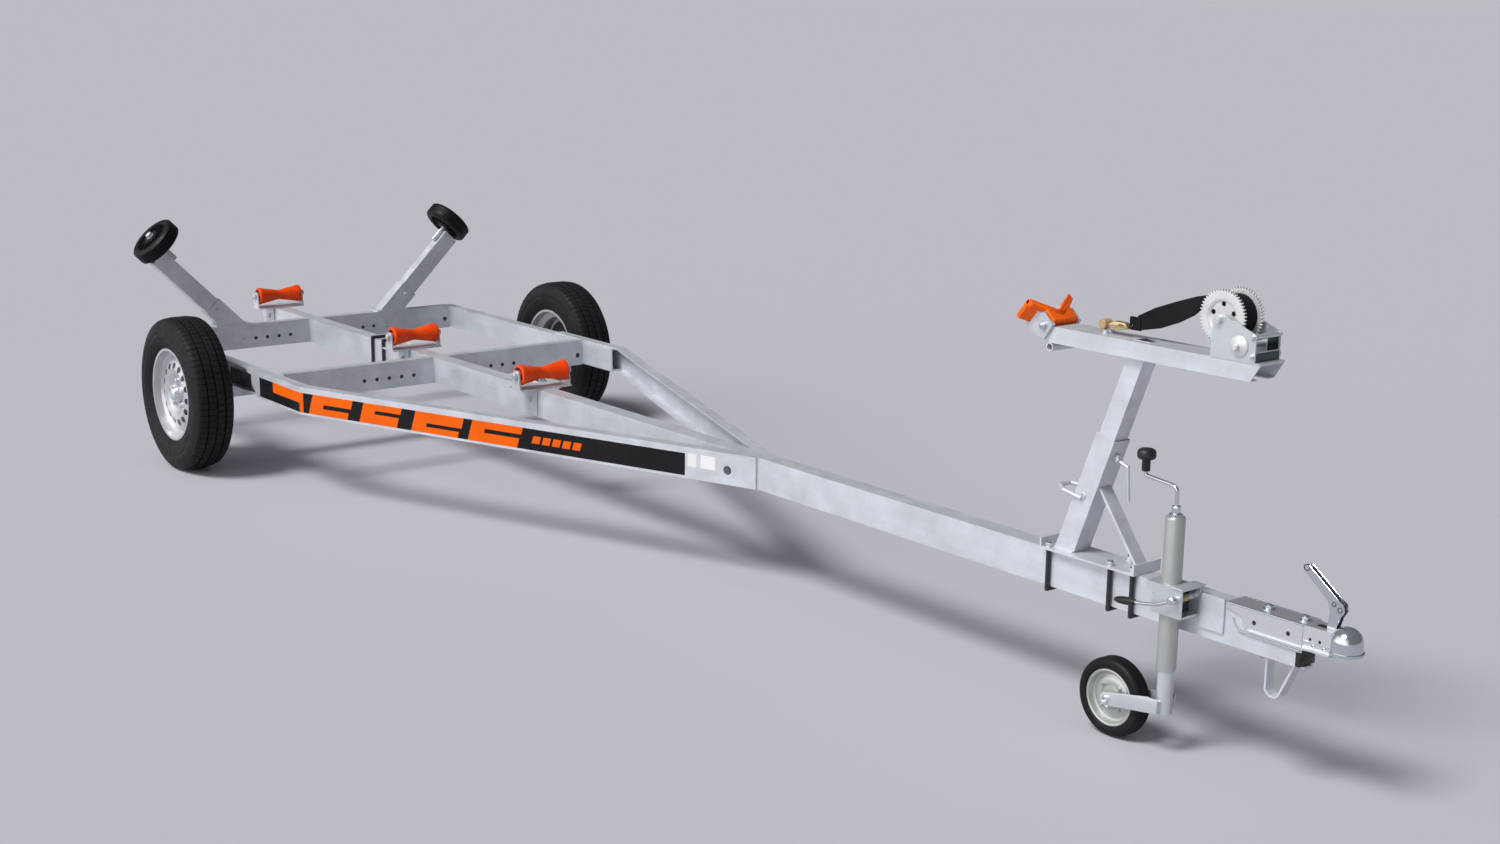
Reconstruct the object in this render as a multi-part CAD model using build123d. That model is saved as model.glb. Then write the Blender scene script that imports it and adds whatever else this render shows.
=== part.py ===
from build123d import *
from math import atan2, cos, degrees, hypot, pi, radians, sin, sqrt, tan
import os

os.makedirs("parts", exist_ok=True)

# Boat trailer, standing on its two road wheels and its jockey wheel.
# Millimetres, +X towards the coupling, +Y to the left, +Z up, ground at z = 0.
# Stations along X are counted from the road wheel axis and moved by X_MID at export.

# ---- road wheels ----
TYRE_R = 289.0
TYRE_W = 157.0
TYRE_OUT_Y = 918.0        # outer sidewall
RIM_R = 183.0             # rim flange
RIM_W = 128.0
BEAD_R = 168.0
RIM_T = 5.0
HUB_R = 62.0
SPINDLE_R = 17.0
STUB_R = 20.0

# ---- frame ----
AXLE_DROP = 121.0         # from the frame's top down to the road wheel axis
BEAM_TOP = TYRE_R + AXLE_DROP   # top face of the beam, the side rails and the crossbeams
BEAM_H = 100.0            # height of the main beam and of every channel
BEAM_W = 60.0
BEAM_WALL = 4.0
BEAM_REAR = -1030.0
BEAM_FRONT = 4420.0
CHANNEL_T = 5.0           # wall of every channel
CHANNEL_FLANGE = 40.0
RAIL_Y = 700.0            # outer face of the straight part of a front rail
RAIL_BEND_X = 685.0
RAIL_NOSE_X = 2453.0      # front end of a front rail, beside the main beam
RAIL_NOSE_GAP = 6.0       # between a rail's flange tips and the beam at the nose
RAIL_TAIL_TOP_X = 225.0   # the rear end of a front rail is cut aslant
RAIL_TAIL_LOW_X = 325.0
REAR_RAIL_FRONT = 720.0
REAR_RAIL_REAR = -700.0
NEST_CLEAR = 0.5          # between the nested rear and front rails
CROSS_X = {"rear": -640.0, "mid": 448.0}   # front face of each crossbeam
HOLE_D = 12.0
HOLE_Y0 = 118.0           # first hole of a crossbeam half, from the centre line
HOLE_PITCH = 52.0
HOLE_COUNT = 5
RAIL_PORT_D = 29.0        # round port in a front rail's web
RAIL_PORT_S = 1787.0      # distance of the port from the bend along the rail
AXLE_W = 80.0             # axle beam along X
AXLE_H = 50.0
AXLE_PAD_L = 190.0        # seat plate between a rail and the axle beam, along X

# ---- keel rollers ----
ROLLER_X = {"rear": -1007.0, "mid": 232.0, "front": 1177.0}
ROLLER_Z = BEAM_TOP + 55.0
ROLLER_L = 194.0
ROLLER_END_R = 37.0
ROLLER_WAIST_R = 22.0
ROLLER_BORE_R = 8.5
PIN_R = 8.0

# ---- side supports on the rear crossbeam ----
SUPPORT_Y = 364.0         # where the arm's axis meets the crossbeam's top
SUPPORT_TILT = 45.0       # from the vertical, leaning outwards
SUPPORT_X = -672.0        # middle of the arm
ARM_T = 70.0
ARM_W = 50.0
ARM_WALL = 4.0
ARM_L = 436.0
SLEEVE_WALL = 5.0
SLEEVE_L = 128.0
SUPPORT_WHEEL_R = 100.0
SUPPORT_WHEEL_W = 62.0
SUPPORT_WHEEL_S = ARM_L + 42.0   # along the arm to the wheel's middle
SUPPORT_OFF = 45.0        # wheel axle above the arm's axis

# ---- winch stand ----
STAND_TILT = 20.2         # from the vertical, leaning forwards
STAND_X = 3706.0          # middle of the outer tube at the base plate
STAND_TUBE = 60.0
STAND_WALL = 4.0
STAND_L = 345.0
POST_TUBE = 50.0
POST_CLEAR = 1.0
POST_WALL = 4.0
PLATE_X = (3643.0, 3955.0)
PLATE_W = 100.0
PLATE_T = 6.0
PLATE_LIP = 28.0
UBOLT_R = 6.0
UBOLT_Y = BEAM_W / 2 + UBOLT_R + 1.0   # leg of a U-bolt
STAND_BOLTS_X = (3663.0, 3869.0, 3941.0)
AXLE_BOLTS_X = (-46.0, 46.0)
ARM_REAR = 3634.0         # winch arm, a channel closed on top with lips below
ARM_TOP = 985.0
ARM_H = 42.0
ARM_END_SLANT = 26.0      # the front end leans back towards the bottom
CH_W = 88.0
CH_T = 3.0
CH_LIP = 24.0
STOP_PIVOT = (ARM_REAR - 12.0, ARM_TOP - 1.0)
STOP_TILT = 39.0          # bow stop, leaning forwards
STOP_W = 150.0            # over the two wings
STOP_V = 49.0             # depth of the V between the wings
STOP_WALL = 24.0          # of a wing, along the V's depth
STOP_H = 65.0             # of a wing, along the lean
STOP_CORE = (36.0, 34.0)  # block between the cheeks: reach in front of the V's bottom, height
STOP_APEX = (3.0, 38.0)   # upper end of the V's bottom, from the pivot
DRUM_X = 4156.0
DRUM_Z = ARM_TOP + 93.0
ARM_X = (ARM_REAR, DRUM_X + 122.0)
ARM_Z = (ARM_TOP - ARM_H, ARM_TOP)
GEAR_R = 65.0
GEAR_Y = 32.0             # middle plane of each gear disc
GEAR_T = 7.0
GEAR_DISH_R = 42.0
DRUM_R = 50.0
WINCH_Y = 43.0            # inner face of a winch side plate
PINION_X, PINION_Z = DRUM_X + 61.0, DRUM_Z - 58.0
PINION_R = 18.5

# ---- jockey wheel ----
JOCKEY_X, JOCKEY_Y = 4085.0, -66.0
JOCKEY_R = 24.0
JOCKEY_WALL = 3.0
JOCKEY_LOW = BEAM_TOP - 196.0
JOCKEY_TOP = JOCKEY_LOW + 384.0
LEG_CLEAR = 0.5
LEG_LOW = 138.0
TRAIL = 154.0
JW_R = 100.0
JW_W = 50.0
JOCKEY_RIM_R = 71.7
JOCKEY_PIN_R = 8.0
JOCKEY_HUB_LOW = 130.0    # lower edge of the fork where it leaves the leg
JOCKEY_FORK_H = 38.0

# ---- coupling ----
COUPLING_X = 4530.0
COUPLING_Z = BEAM_TOP - 18.0
COUPLING_NOSE_R = 40.0    # outside the rim
DOME_R = 37.0
RIM_DROP = 26.0           # rim's lower face, below the dome's middle
SOCKET_R = 25.4
SOCKET_DROP = 6.0         # ball's middle, below the dome's middle
NECK_W = 54.0
SLEEVE_X = (4222.0, 4436.0)
COVER_X = (SLEEVE_X[0] - 70.0, SLEEVE_X[0] - 3.0)
HANDLE_SLOT = 9.0
LOOP_X = (4300.0, 4436.0)  # safety loop's bar under the beam
LOOP_LEG_X = 4330.0
LOOP_T = 5.0
LOOP_W = 30.0

CHEEK_BACK = 112.0         # reach of a keel bracket behind its roller axis
X_MID = (COUPLING_X + COUPLING_NOSE_R + ROLLER_X["rear"] - CHEEK_BACK) / 2
BEAM_LOW = BEAM_TOP - BEAM_H


def block(x, y, z):
    """A box from (x0, x1), (y0, y1), (z0, z1)."""
    size = (x[1] - x[0], y[1] - y[0], z[1] - z[0])
    mid = ((x[0] + x[1]) / 2, (y[0] + y[1]) / 2, (z[0] + z[1]) / 2)
    return Pos(*mid) * Box(*size)


def rod(a, b, r):
    """A round bar between two points."""
    a, b = Vector(*a), Vector(*b)
    d = b - a
    plane = Plane(origin=a, z_dir=d)
    return extrude(plane * Circle(r), d.length)


def side_cut(points, y0, y1):
    """A polygon in the X-Z plane, extruded across Y."""
    face = Plane.XZ * Pos(0, 0, 0) * make_face(Polyline(*points, close=True))
    return Pos(0, y1, 0) * extrude(face, y1 - y0)


def plan_cut(points, z0, z1):
    """A polygon in the X-Y plane, extruded up."""
    face = make_face(Polyline(*points, close=True))
    return Pos(0, 0, z0) * extrude(face, z1 - z0)


def bent_rod(points, r):
    """A round bar through several points, with ball corners."""
    body = None
    for a, b in zip(points, points[1:]):
        piece = rod(a, b, r)
        body = piece if body is None else body + piece
    for p in points[1:-1]:
        body += Pos(*p) * Sphere(r)
    return body


def turned(profile, at, axis="y"):
    """A profile of (radius, along) revolved about an axis through a point."""
    face = make_face(Polyline(*[(r, s) for r, s in profile], close=True))
    solid = revolve(Plane.XY * face, Axis.Y, 360)
    if axis == "z":
        solid = Rot(90, 0, 0) * solid
    elif axis == "x":
        solid = Rot(0, 0, -90) * solid
    return Pos(*at) * solid


def mirror_y(shape):
    return mirror(shape, Plane.XZ)


def put(name, *shapes):
    """Moves a piece to the part's origin and writes it."""
    kept = [s for shape in shapes for s in shape.solids()]
    whole = kept[0] if len(kept) == 1 else Compound(children=kept)
    whole = Pos(-X_MID, 0, 0) * whole
    whole.label = name
    export_step(whole, f"parts/{name}.step")


# ---------------- main beam ----------------
beam = block((BEAM_REAR, BEAM_FRONT), (-BEAM_W / 2, BEAM_W / 2), (BEAM_LOW, BEAM_TOP))
beam -= block(
    (BEAM_REAR - 1, BEAM_FRONT + 1),
    (-BEAM_W / 2 + BEAM_WALL, BEAM_W / 2 - BEAM_WALL),
    (BEAM_LOW + BEAM_WALL, BEAM_TOP - BEAM_WALL),
)
put("main_beam", beam)

# ---------------- front side rails ----------------
nose_y = BEAM_W / 2 + RAIL_NOSE_GAP
run = (RAIL_NOSE_X - RAIL_BEND_X, nose_y - RAIL_Y)
run_len = hypot(*run)
ux, uy = run[0] / run_len, run[1] / run_len
half_turn = atan2(-run[1], run[0]) / 2


def rail_band(d0, d1, z0, z1):
    """A strip of a left front rail between two depths inside its outer face."""
    pts_out, pts_in = [], []
    for d, pts in ((d0, pts_out), (d1, pts_in)):
        bend = (RAIL_BEND_X - d * tan(half_turn), RAIL_Y - d)
        start = (0.0, RAIL_Y - d)
        far = (bend[0] + ux * (run_len + 200), bend[1] + uy * (run_len + 200))
        pts.extend([start, bend, far])
    return plan_cut(pts_out + pts_in[::-1], z0, z1)


rail = rail_band(0, CHANNEL_T, BEAM_LOW, BEAM_TOP)
rail += rail_band(0, CHANNEL_FLANGE, BEAM_TOP - CHANNEL_T, BEAM_TOP)
rail += rail_band(0, CHANNEL_FLANGE, BEAM_LOW, BEAM_LOW + CHANNEL_T)
tail_slope = (RAIL_TAIL_LOW_X - RAIL_TAIL_TOP_X) / BEAM_H
rail -= side_cut(
    [
        (-10, BEAM_TOP + 20),
        (RAIL_TAIL_TOP_X - 20 * tail_slope, BEAM_TOP + 20),
        (RAIL_TAIL_LOW_X + 20 * tail_slope, BEAM_LOW - 20),
        (-10, BEAM_LOW - 20),
    ],
    RAIL_Y - CHANNEL_FLANGE - 10,
    RAIL_Y + 10,
)
rail -= block((RAIL_NOSE_X, RAIL_NOSE_X + 400), (-400, 400), (BEAM_LOW - 10, BEAM_TOP + 10))
rail -= block(
    (RAIL_BEND_X, RAIL_NOSE_X + 400),
    (-400, BEAM_W / 2 + 0.3),
    (BEAM_LOW - 10, BEAM_TOP + 10),
)
port = (RAIL_BEND_X + ux * RAIL_PORT_S, RAIL_Y + uy * RAIL_PORT_S)
port_z = BEAM_LOW + BEAM_H * 0.46
rail -= rod(
    (port[0] + uy * 10, port[1] - ux * 10, port_z),
    (port[0] - uy * 20, port[1] + ux * 20, port_z),
    RAIL_PORT_D / 2,
)
put("front_rail_left", rail)
put("front_rail_right", mirror_y(rail))

# ---------------- rear side rails ----------------
web_y = RAIL_Y - CHANNEL_FLANGE - 10.0          # inner face of a rear rail's web
rear_top = BEAM_TOP - CHANNEL_T - NEST_CLEAR
rear_low = BEAM_LOW + CHANNEL_T + NEST_CLEAR
flange_y = RAIL_Y - CHANNEL_T - NEST_CLEAR
span = (REAR_RAIL_REAR, REAR_RAIL_FRONT - 60.0)
rear_rail = block(span, (web_y, web_y + CHANNEL_T), (rear_low, rear_top))
rear_rail += block(span, (web_y, flange_y), (rear_top - CHANNEL_T, rear_top))
rear_rail += block(span, (web_y, flange_y), (rear_low, rear_low + CHANNEL_T))
put("rear_rail_left", rear_rail)
put("rear_rail_right", mirror_y(rear_rail))

# ---------------- crossbeams ----------------
for name, x_face in CROSS_X.items():
    y0, y1 = BEAM_W / 2, web_y
    half = block((x_face - CHANNEL_T, x_face), (y0, y1), (BEAM_LOW, BEAM_TOP))
    for z0 in (BEAM_LOW, BEAM_TOP - CHANNEL_T):
        half += block((x_face - CHANNEL_FLANGE, x_face), (y0, y1), (z0, z0 + CHANNEL_T))
    for i in range(HOLE_COUNT):
        y = HOLE_Y0 + i * HOLE_PITCH
        half -= rod((x_face - 20, y, port_z - 6), (x_face + 10, y, port_z - 6), HOLE_D / 2)
    half -= rod((x_face - 20, y1 - 22, port_z - 6), (x_face + 10, y1 - 22, port_z - 6), 10)
    put(f"crossbeam_{name}", half, mirror_y(half))

# ---------------- axle ----------------
ax = AXLE_W / 2
axle_z = TYRE_R
axle_y = RAIL_Y - 10.0
axle = block((-ax, ax), (-axle_y, axle_y), (BEAM_LOW - AXLE_H, BEAM_LOW - 0.3))
hub_in_y = TYRE_OUT_Y - TYRE_W + 22.0
hub_out_y = TYRE_OUT_Y - 42.0
for s in (-1, 1):
    axle += rod((0, s * (axle_y - 20), axle_z), (0, s * (hub_in_y - 6), axle_z), STUB_R)
    axle += rod((0, s * (hub_in_y - 8), axle_z), (0, s * (hub_out_y - 14), axle_z), SPINDLE_R)
put("axle_beam", axle)
pads = []
for s in (-1, 1):
    seat_y = sorted((s * (web_y + 1), s * (flange_y - 4)))
    pad = block((-AXLE_PAD_L / 2, AXLE_PAD_L / 2), seat_y, (BEAM_LOW, rear_low - 0.3))
    pads.append(pad)
put("axle_pads", *pads)

# ---------------- road wheels ----------------
y_in = TYRE_OUT_Y - TYRE_W
mid_y = TYRE_OUT_Y - TYRE_W / 2
half_w = TYRE_W / 2
half_rim = RIM_W / 2
TYRE_PROFILE = [  # radius, distance from the middle plane
    (BEAD_R + 4, -half_rim + 13),
    (RIM_R + 1, -half_rim + 7),
    (RIM_R + 1, -half_rim + 2),
    (RIM_R + 38, -half_w + 1),
    (RIM_R + 56, -half_w),
    (TYRE_R - 24, -half_w + 6),
    (TYRE_R - 8, -half_w + 19),
    (TYRE_R - 2, -half_w + 32),
    (TYRE_R, -18),
    (TYRE_R, 18),
    (TYRE_R - 2, half_w - 32),
    (TYRE_R - 8, half_w - 19),
    (TYRE_R - 24, half_w - 6),
    (RIM_R + 56, half_w),
    (RIM_R + 38, half_w - 1),
    (RIM_R + 1, half_rim - 2),
    (RIM_R + 1, half_rim - 7),
    (BEAD_R + 4, half_rim - 13),
]
tyre_left = turned(TYRE_PROFILE, (0, mid_y, axle_z))
tr = BEAD_R
RIM_PROFILE = [  # radius, distance from the middle plane, outer skin then inner skin
    (RIM_R, -half_rim),
    (RIM_R, -half_rim + 6),
    (tr + 3.5, -half_rim + 12),
    (tr - 2, -half_rim + 28),
    (tr - 24, -half_rim + 42),
    (tr - 24, half_rim - 46),
    (tr - 2, half_rim - 28),
    (tr + 3.5, half_rim - 12),
    (RIM_R, half_rim - 6),
    (RIM_R, half_rim),
    (tr - 3, half_rim),
    (tr - 8, half_rim - 26),
    (tr - 30, half_rim - 44),
    (tr - 30, -half_rim + 40),
    (tr - 8, -half_rim + 26),
    (tr - 3, -half_rim),
]
rim = turned(RIM_PROFILE, (0, mid_y, axle_z))
DISC_PROFILE = [  # the pressed disc, radius, distance from the middle plane
    (34, half_rim - 34),
    (58, half_rim - 34),
    (76, half_rim - 22),
    (96, half_rim - 16),
    (122, half_rim - 24),
    (tr - 29, half_rim - 34),
    (tr - 29, half_rim - 44),
    (118, half_rim - 31),
    (96, half_rim - 22),
    (80, half_rim - 28),
    (60, half_rim - 40),
    (34, half_rim - 40),
]
rim += turned(DISC_PROFILE, (0, mid_y, axle_z))
VENTS = 15
for i in range(VENTS):
    a = 2 * pi * i / VENTS
    vx, vz = 108 * sin(a), axle_z + 108 * cos(a)
    rim -= rod((vx, mid_y, vz), (vx, mid_y + half_rim + 10, vz), 8.5)
HUB_PROFILE = [
    (SPINDLE_R + 0.05, hub_in_y - mid_y),
    (HUB_R, hub_in_y - mid_y),
    (HUB_R, hub_in_y - mid_y + 22),
    (40, hub_in_y - mid_y + 30),
    (40, half_rim - 52),
    (58, half_rim - 50),
    (58, half_rim - 40.3),
    (33, half_rim - 40.3),
    (30, half_rim - 22),
    (24, half_rim - 10),
    (0, half_rim - 10),
    (0, half_rim - 16),
    (SPINDLE_R + 0.05, half_rim - 16),
]
hub = turned(HUB_PROFILE, (0, mid_y, axle_z))
put("tyre_left", tyre_left)
put("tyre_right", mirror_y(tyre_left))
put("rim_left", rim)
put("rim_right", mirror_y(rim))
put("hub_left", hub)
put("hub_right", mirror_y(hub))

# ---------------- keel rollers ----------------
hl = ROLLER_L / 2
ROLLER_PROFILE = [  # radius, along
    (ROLLER_BORE_R, -hl),
    (ROLLER_END_R - 5, -hl),
    (ROLLER_END_R, -hl + 5),
    (ROLLER_END_R - 1, -hl + 14),
    (ROLLER_WAIST_R, -9),
    (ROLLER_WAIST_R, 9),
    (ROLLER_END_R - 1, hl - 14),
    (ROLLER_END_R, hl - 5),
    (ROLLER_END_R - 5, hl),
    (ROLLER_BORE_R, hl),
]
ear_y = hl + 4.0
for name, rx in ROLLER_X.items():
    put(f"keel_roller_{name}", turned(ROLLER_PROFILE, (rx, 0, ROLLER_Z)))
    tray_z = BEAM_TOP + 0.3
    tray = block((rx - 62, rx + 34), (-ear_y - 4, ear_y + 4), (tray_z, tray_z + 5))
    for s in (-1, 1):
        ear_pts = [
            (rx - 26, tray_z),
            (rx + 26, tray_z),
            (rx + 20, ROLLER_Z + 2),
            (rx + 11, ROLLER_Z + 17),
            (rx - 11, ROLLER_Z + 17),
            (rx - 20, ROLLER_Z + 2),
        ]
        ys = sorted((s * ear_y, s * (ear_y + 5)))
        tray += side_cut(ear_pts, ys[0], ys[1])
        cheek_pts = [
            (rx - CHEEK_BACK, tray_z + 5),
            (rx + 20, tray_z + 5),
            (rx + 20, BEAM_LOW + 4),
            (rx - 68, BEAM_LOW + 4),
        ]
        cy = BEAM_W / 2 + 0.3
        ys = sorted((s * cy, s * (cy + 4)))
        tray += side_cut(cheek_pts, ys[0], ys[1])
        tray += rod((rx - 24, s * (cy + 4), BEAM_LOW + 60), (rx - 24, s * (cy + 11), BEAM_LOW + 60), 9)
    tray += rod((rx, -ear_y - 14, ROLLER_Z), (rx, ear_y + 14, ROLLER_Z), PIN_R)
    for s in (-1, 1):
        tray += rod((rx, s * (ear_y + 4), ROLLER_Z), (rx, s * (ear_y + 13), ROLLER_Z), 13)
    put(f"keel_bracket_{name}", tray)

# ---------------- side supports ----------------
st, ct = sin(radians(SUPPORT_TILT)), cos(radians(SUPPORT_TILT))
arm_plane = Plane(
    origin=(SUPPORT_X, SUPPORT_Y, BEAM_TOP),
    x_dir=(1, 0, 0),
    z_dir=(0, st, ct),
)
arm = extrude(arm_plane * Rectangle(ARM_W, ARM_T), ARM_L)
arm -= extrude(arm_plane * Rectangle(ARM_W - 2 * ARM_WALL, ARM_T - 2 * ARM_WALL), ARM_L + 1)
clear_low = block((SUPPORT_X - 100, SUPPORT_X + 100), (0, 700), (BEAM_TOP - 200, BEAM_TOP + 0.3))
arm -= clear_low
long_plane = arm_plane.offset(-80)
bore = (ARM_W + 1, ARM_T + 1)
sleeve = extrude(long_plane * Rectangle(bore[0] + 2 * SLEEVE_WALL, bore[1] + 2 * SLEEVE_WALL), SLEEVE_L + 80)
sleeve -= extrude(long_plane * Rectangle(*bore), SLEEVE_L + 100)
sleeve -= clear_low
foot = block(
    (CROSS_X["rear"] - 72, CROSS_X["rear"] + 2),
    (SUPPORT_Y - 70, SUPPORT_Y + 78),
    (BEAM_TOP + 0.2, BEAM_TOP + 6),
)
foot -= extrude(long_plane * Rectangle(*bore), SLEEVE_L + 100)
sleeve += foot
bolt_at = arm_plane.offset(SLEEVE_L - 30)
b0 = bolt_at.origin
sleeve += rod((b0.X + ARM_W / 2 + 3, b0.Y, b0.Z), (b0.X + ARM_W / 2 + 16, b0.Y, b0.Z), 9)


def on_arm(s, off):
    """A point along a left arm, off the axis on its upper side."""
    return (SUPPORT_X, SUPPORT_Y + st * s - ct * off, BEAM_TOP + ct * s + st * off)


s0 = SUPPORT_WHEEL_S - SUPPORT_WHEEL_W / 2 - 40
arm += rod(on_arm(s0 - 35, SUPPORT_OFF), on_arm(s0 + 18, SUPPORT_OFF), PIN_R + 3)
nut = SUPPORT_WHEEL_S + SUPPORT_WHEEL_W / 2 + 3
arm += rod(on_arm(s0 - 35, SUPPORT_OFF), on_arm(nut + 11, SUPPORT_OFF), PIN_R)
arm += rod(on_arm(nut, SUPPORT_OFF), on_arm(nut + 11, SUPPORT_OFF), 13)
put("support_arm_left", arm)
put("support_arm_right", mirror_y(arm))
put("support_sleeve_left", sleeve)
put("support_sleeve_right", mirror_y(sleeve))

wh = SUPPORT_WHEEL_W / 2
GUIDE_PROFILE = [  # radius, along the axle
    (PIN_R + 0.05, -wh),
    (30, -wh),
    (44, -wh + 10),
    (62, -wh + 10),
    (70, -wh + 2),
    (84, -wh),
    (SUPPORT_WHEEL_R - 5, -wh + 12),
    (SUPPORT_WHEEL_R, -wh + 22),
    (SUPPORT_WHEEL_R, wh - 22),
    (SUPPORT_WHEEL_R - 5, wh - 12),
    (84, wh),
    (70, wh - 2),
    (62, wh - 10),
    (44, wh - 10),
    (30, wh),
    (PIN_R + 0.05, wh),
]
guide = turned(GUIDE_PROFILE, (0, 0, 0), "z")
wheel_at = on_arm(SUPPORT_WHEEL_S, SUPPORT_OFF)
guide = Plane(origin=wheel_at, x_dir=(1, 0, 0), z_dir=(0, st, ct)) * guide
put("support_wheel_left", guide)
put("support_wheel_right", mirror_y(guide))

# ---------------- winch stand ----------------
tt, tc = sin(radians(STAND_TILT)), cos(radians(STAND_TILT))
plate_z = BEAM_TOP + 0.3
stand_plane = Plane(origin=(STAND_X, 0, plate_z), x_dir=(tc, 0, -tt), z_dir=(tt, 0, tc))
low_plane = stand_plane.offset(-60)
outer = extrude(low_plane * Rectangle(STAND_TUBE, STAND_TUBE), STAND_L + 60)
stand_bore = STAND_TUBE - 2 * STAND_WALL
outer -= extrude(low_plane * Rectangle(stand_bore, stand_bore), STAND_L + 80)
below = block((STAND_X - 200, STAND_X + 200), (-60, 60), (plate_z - 200, plate_z + PLATE_T - 1))
outer -= below
plate = block(PLATE_X, (-PLATE_W / 2, PLATE_W / 2), (plate_z, plate_z + PLATE_T))
for x0, x1 in ((PLATE_X[0], PLATE_X[0] + 5), (PLATE_X[1] - 5, PLATE_X[1])):
    plate += block((x0, x1), (-PLATE_W / 2, PLATE_W / 2), (plate_z, plate_z + PLATE_LIP))


def on_stand(s, off):
    """A point along the stand, off its axis towards the front."""
    return (STAND_X + tt * s + tc * off, 0, plate_z + tc * s - tt * off)


stand = outer + plate
for x in STAND_BOLTS_X:
    for s in (-1, 1):
        stand -= rod((x, s * UBOLT_Y, plate_z - 5), (x, s * UBOLT_Y, plate_z + PLATE_T + 5), UBOLT_R + 0.3)
brace_top = on_stand(205, STAND_TUBE / 2)
brace_low = (PLATE_X[1] - 12, 0, plate_z + PLATE_T)
stand += side_cut(
    [
        (brace_top[0] - 1, brace_top[2] + 2),
        (brace_top[0] + 4, brace_top[2] + 8),
        (brace_low[0] + 6, brace_low[2] - 2),
        (brace_low[0] - 4, brace_low[2] - 2),
    ],
    -20,
    20,
)
put("winch_stand", stand)

h0 = on_stand(165, 0)
hy = STAND_TUBE / 2
grip = bent_rod(
    [
        (h0[0], -hy - 6, h0[2]),
        (h0[0] - 60, -hy - 6, h0[2] + 10),
        (h0[0] - 88, -hy + 12, h0[2] + 15),
        (h0[0] - 88, hy - 12, h0[2] + 15),
        (h0[0] - 60, hy + 6, h0[2] + 10),
        (h0[0], hy + 6, h0[2]),
    ],
    6,
)
put("stand_grip", grip)

c0 = on_stand(295, STAND_TUBE / 2)
c1 = on_stand(295, STAND_TUBE / 2 + 42)
clamp = rod(c0, on_stand(295, STAND_TUBE / 2 + 14), 11)
clamp += bent_rod([c0, c1, (c1[0] + 8, 0, c1[2] - 85)], 5)
put("post_clamp", clamp)

post_low = 200.0           # engaged inside the outer tube from here
post_plane = stand_plane.offset(post_low)
post_top = (ARM_Z[1] - plate_z) / tc + 30
post = extrude(post_plane * Rectangle(POST_TUBE, POST_TUBE), post_top - post_low)
post_bore = POST_TUBE - 2 * POST_WALL
post -= extrude(post_plane * Rectangle(post_bore, post_bore), post_top - post_low)
post -= block(ARM_X, (-60, 60), (ARM_Z[1] + 1.0, ARM_Z[1] + 200))
lip_in = CH_W / 2 - CH_LIP - 0.3
for s in (-1, 1):
    post -= block(ARM_X, sorted((s * lip_in, s * 60)), (ARM_Z[0] - 0.3, ARM_Z[0] + CH_T + 0.3))
put("winch_post", post)

half_ch = CH_W / 2
channel = block(ARM_X, (-half_ch, half_ch), ARM_Z)
channel -= block(
    (ARM_X[0] - 1, ARM_X[1] + 1),
    (-half_ch + CH_T, half_ch - CH_T),
    (ARM_Z[0] + CH_T, ARM_Z[1] - CH_T),
)
channel -= block(
    (ARM_X[0] - 1, ARM_X[1] + 1),
    (-half_ch + CH_LIP, half_ch - CH_LIP),
    (ARM_Z[0] - 1, ARM_Z[0] + CH_T + 1),
)
channel -= side_cut(
    [
        (ARM_X[1] - ARM_END_SLANT, ARM_Z[0] - 0.01),
        (ARM_X[1], ARM_Z[1] + 0.01),
        (ARM_X[1] + 9, ARM_Z[1] + 0.01),
        (ARM_X[1] + 9, ARM_Z[0] - 0.01),
    ],
    -half_ch - 5,
    half_ch + 5,
)
tube_at = (ARM_X[0] + 5, ARM_Z[0] - 11)
rear_tube = rod((tube_at[0], -half_ch - 1, tube_at[1]), (tube_at[0], half_ch + 1, tube_at[1]), 11.5)
rear_tube -= rod((tube_at[0], -half_ch - 5, tube_at[1]), (tube_at[0], half_ch + 5, tube_at[1]), 8.5)
channel += rear_tube
post_x = STAND_X + (ARM_Z[1] - plate_z) * tt / tc       # where the post comes through the arm
half_post = POST_TUBE / 2 + 0.3
channel -= side_cut(
    [
        (post_x - half_post / tc - 20 * tt / tc, ARM_Z[1] - 20),
        (post_x + half_post / tc - 20 * tt / tc, ARM_Z[1] - 20),
        (post_x + half_post / tc + 20 * tt / tc, ARM_Z[1] + 20),
        (post_x - half_post / tc + 20 * tt / tc, ARM_Z[1] + 20),
    ],
    -half_post,
    half_post,
)
hook_x = ARM_X[0] + 160.0
channel += block((hook_x - 8, hook_x + 8), (-5, 5), (ARM_Z[1] - 1, ARM_Z[1] + 9))
put("winch_arm", channel)

# ---------------- bow stop ----------------
px, pz = STOP_PIVOT
lean_s, lean_c = sin(radians(STOP_TILT)), cos(radians(STOP_TILT))
apex = (px + STOP_APEX[0], 0, pz + STOP_APEX[1])
stop_plane = Plane(origin=apex, x_dir=(0, 1, 0), z_dir=(-lean_s, 0, -lean_c))
hw = STOP_W / 2
WINGS = [  # across, forwards from the V's bottom
    (-hw, -STOP_V),
    (0, 0),
    (hw, -STOP_V),
    (hw, STOP_WALL - STOP_V),
    (0, STOP_WALL),
    (-hw, STOP_WALL - STOP_V),
]
cheek_y = half_ch + 0.3
core_y = cheek_y - 0.6
core_back = STOP_WALL / 2 - STOP_V * core_y / hw
CORE = [
    (-core_y, core_back),
    (0, STOP_WALL / 2),
    (core_y, core_back),
    (core_y, STOP_CORE[0]),
    (-core_y, STOP_CORE[0]),
]
stop_body = extrude(stop_plane * make_face(Polyline(*WINGS, close=True)), STOP_H)
stop_body += extrude(stop_plane * make_face(Polyline(*CORE, close=True)), STOP_CORE[1])
stop_body -= block((ARM_X[0] - 40, ARM_X[1]), (-hw - 5, hw + 5), (ARM_Z[0] - 10, ARM_Z[1] + 0.3))
cheeks = []
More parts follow.
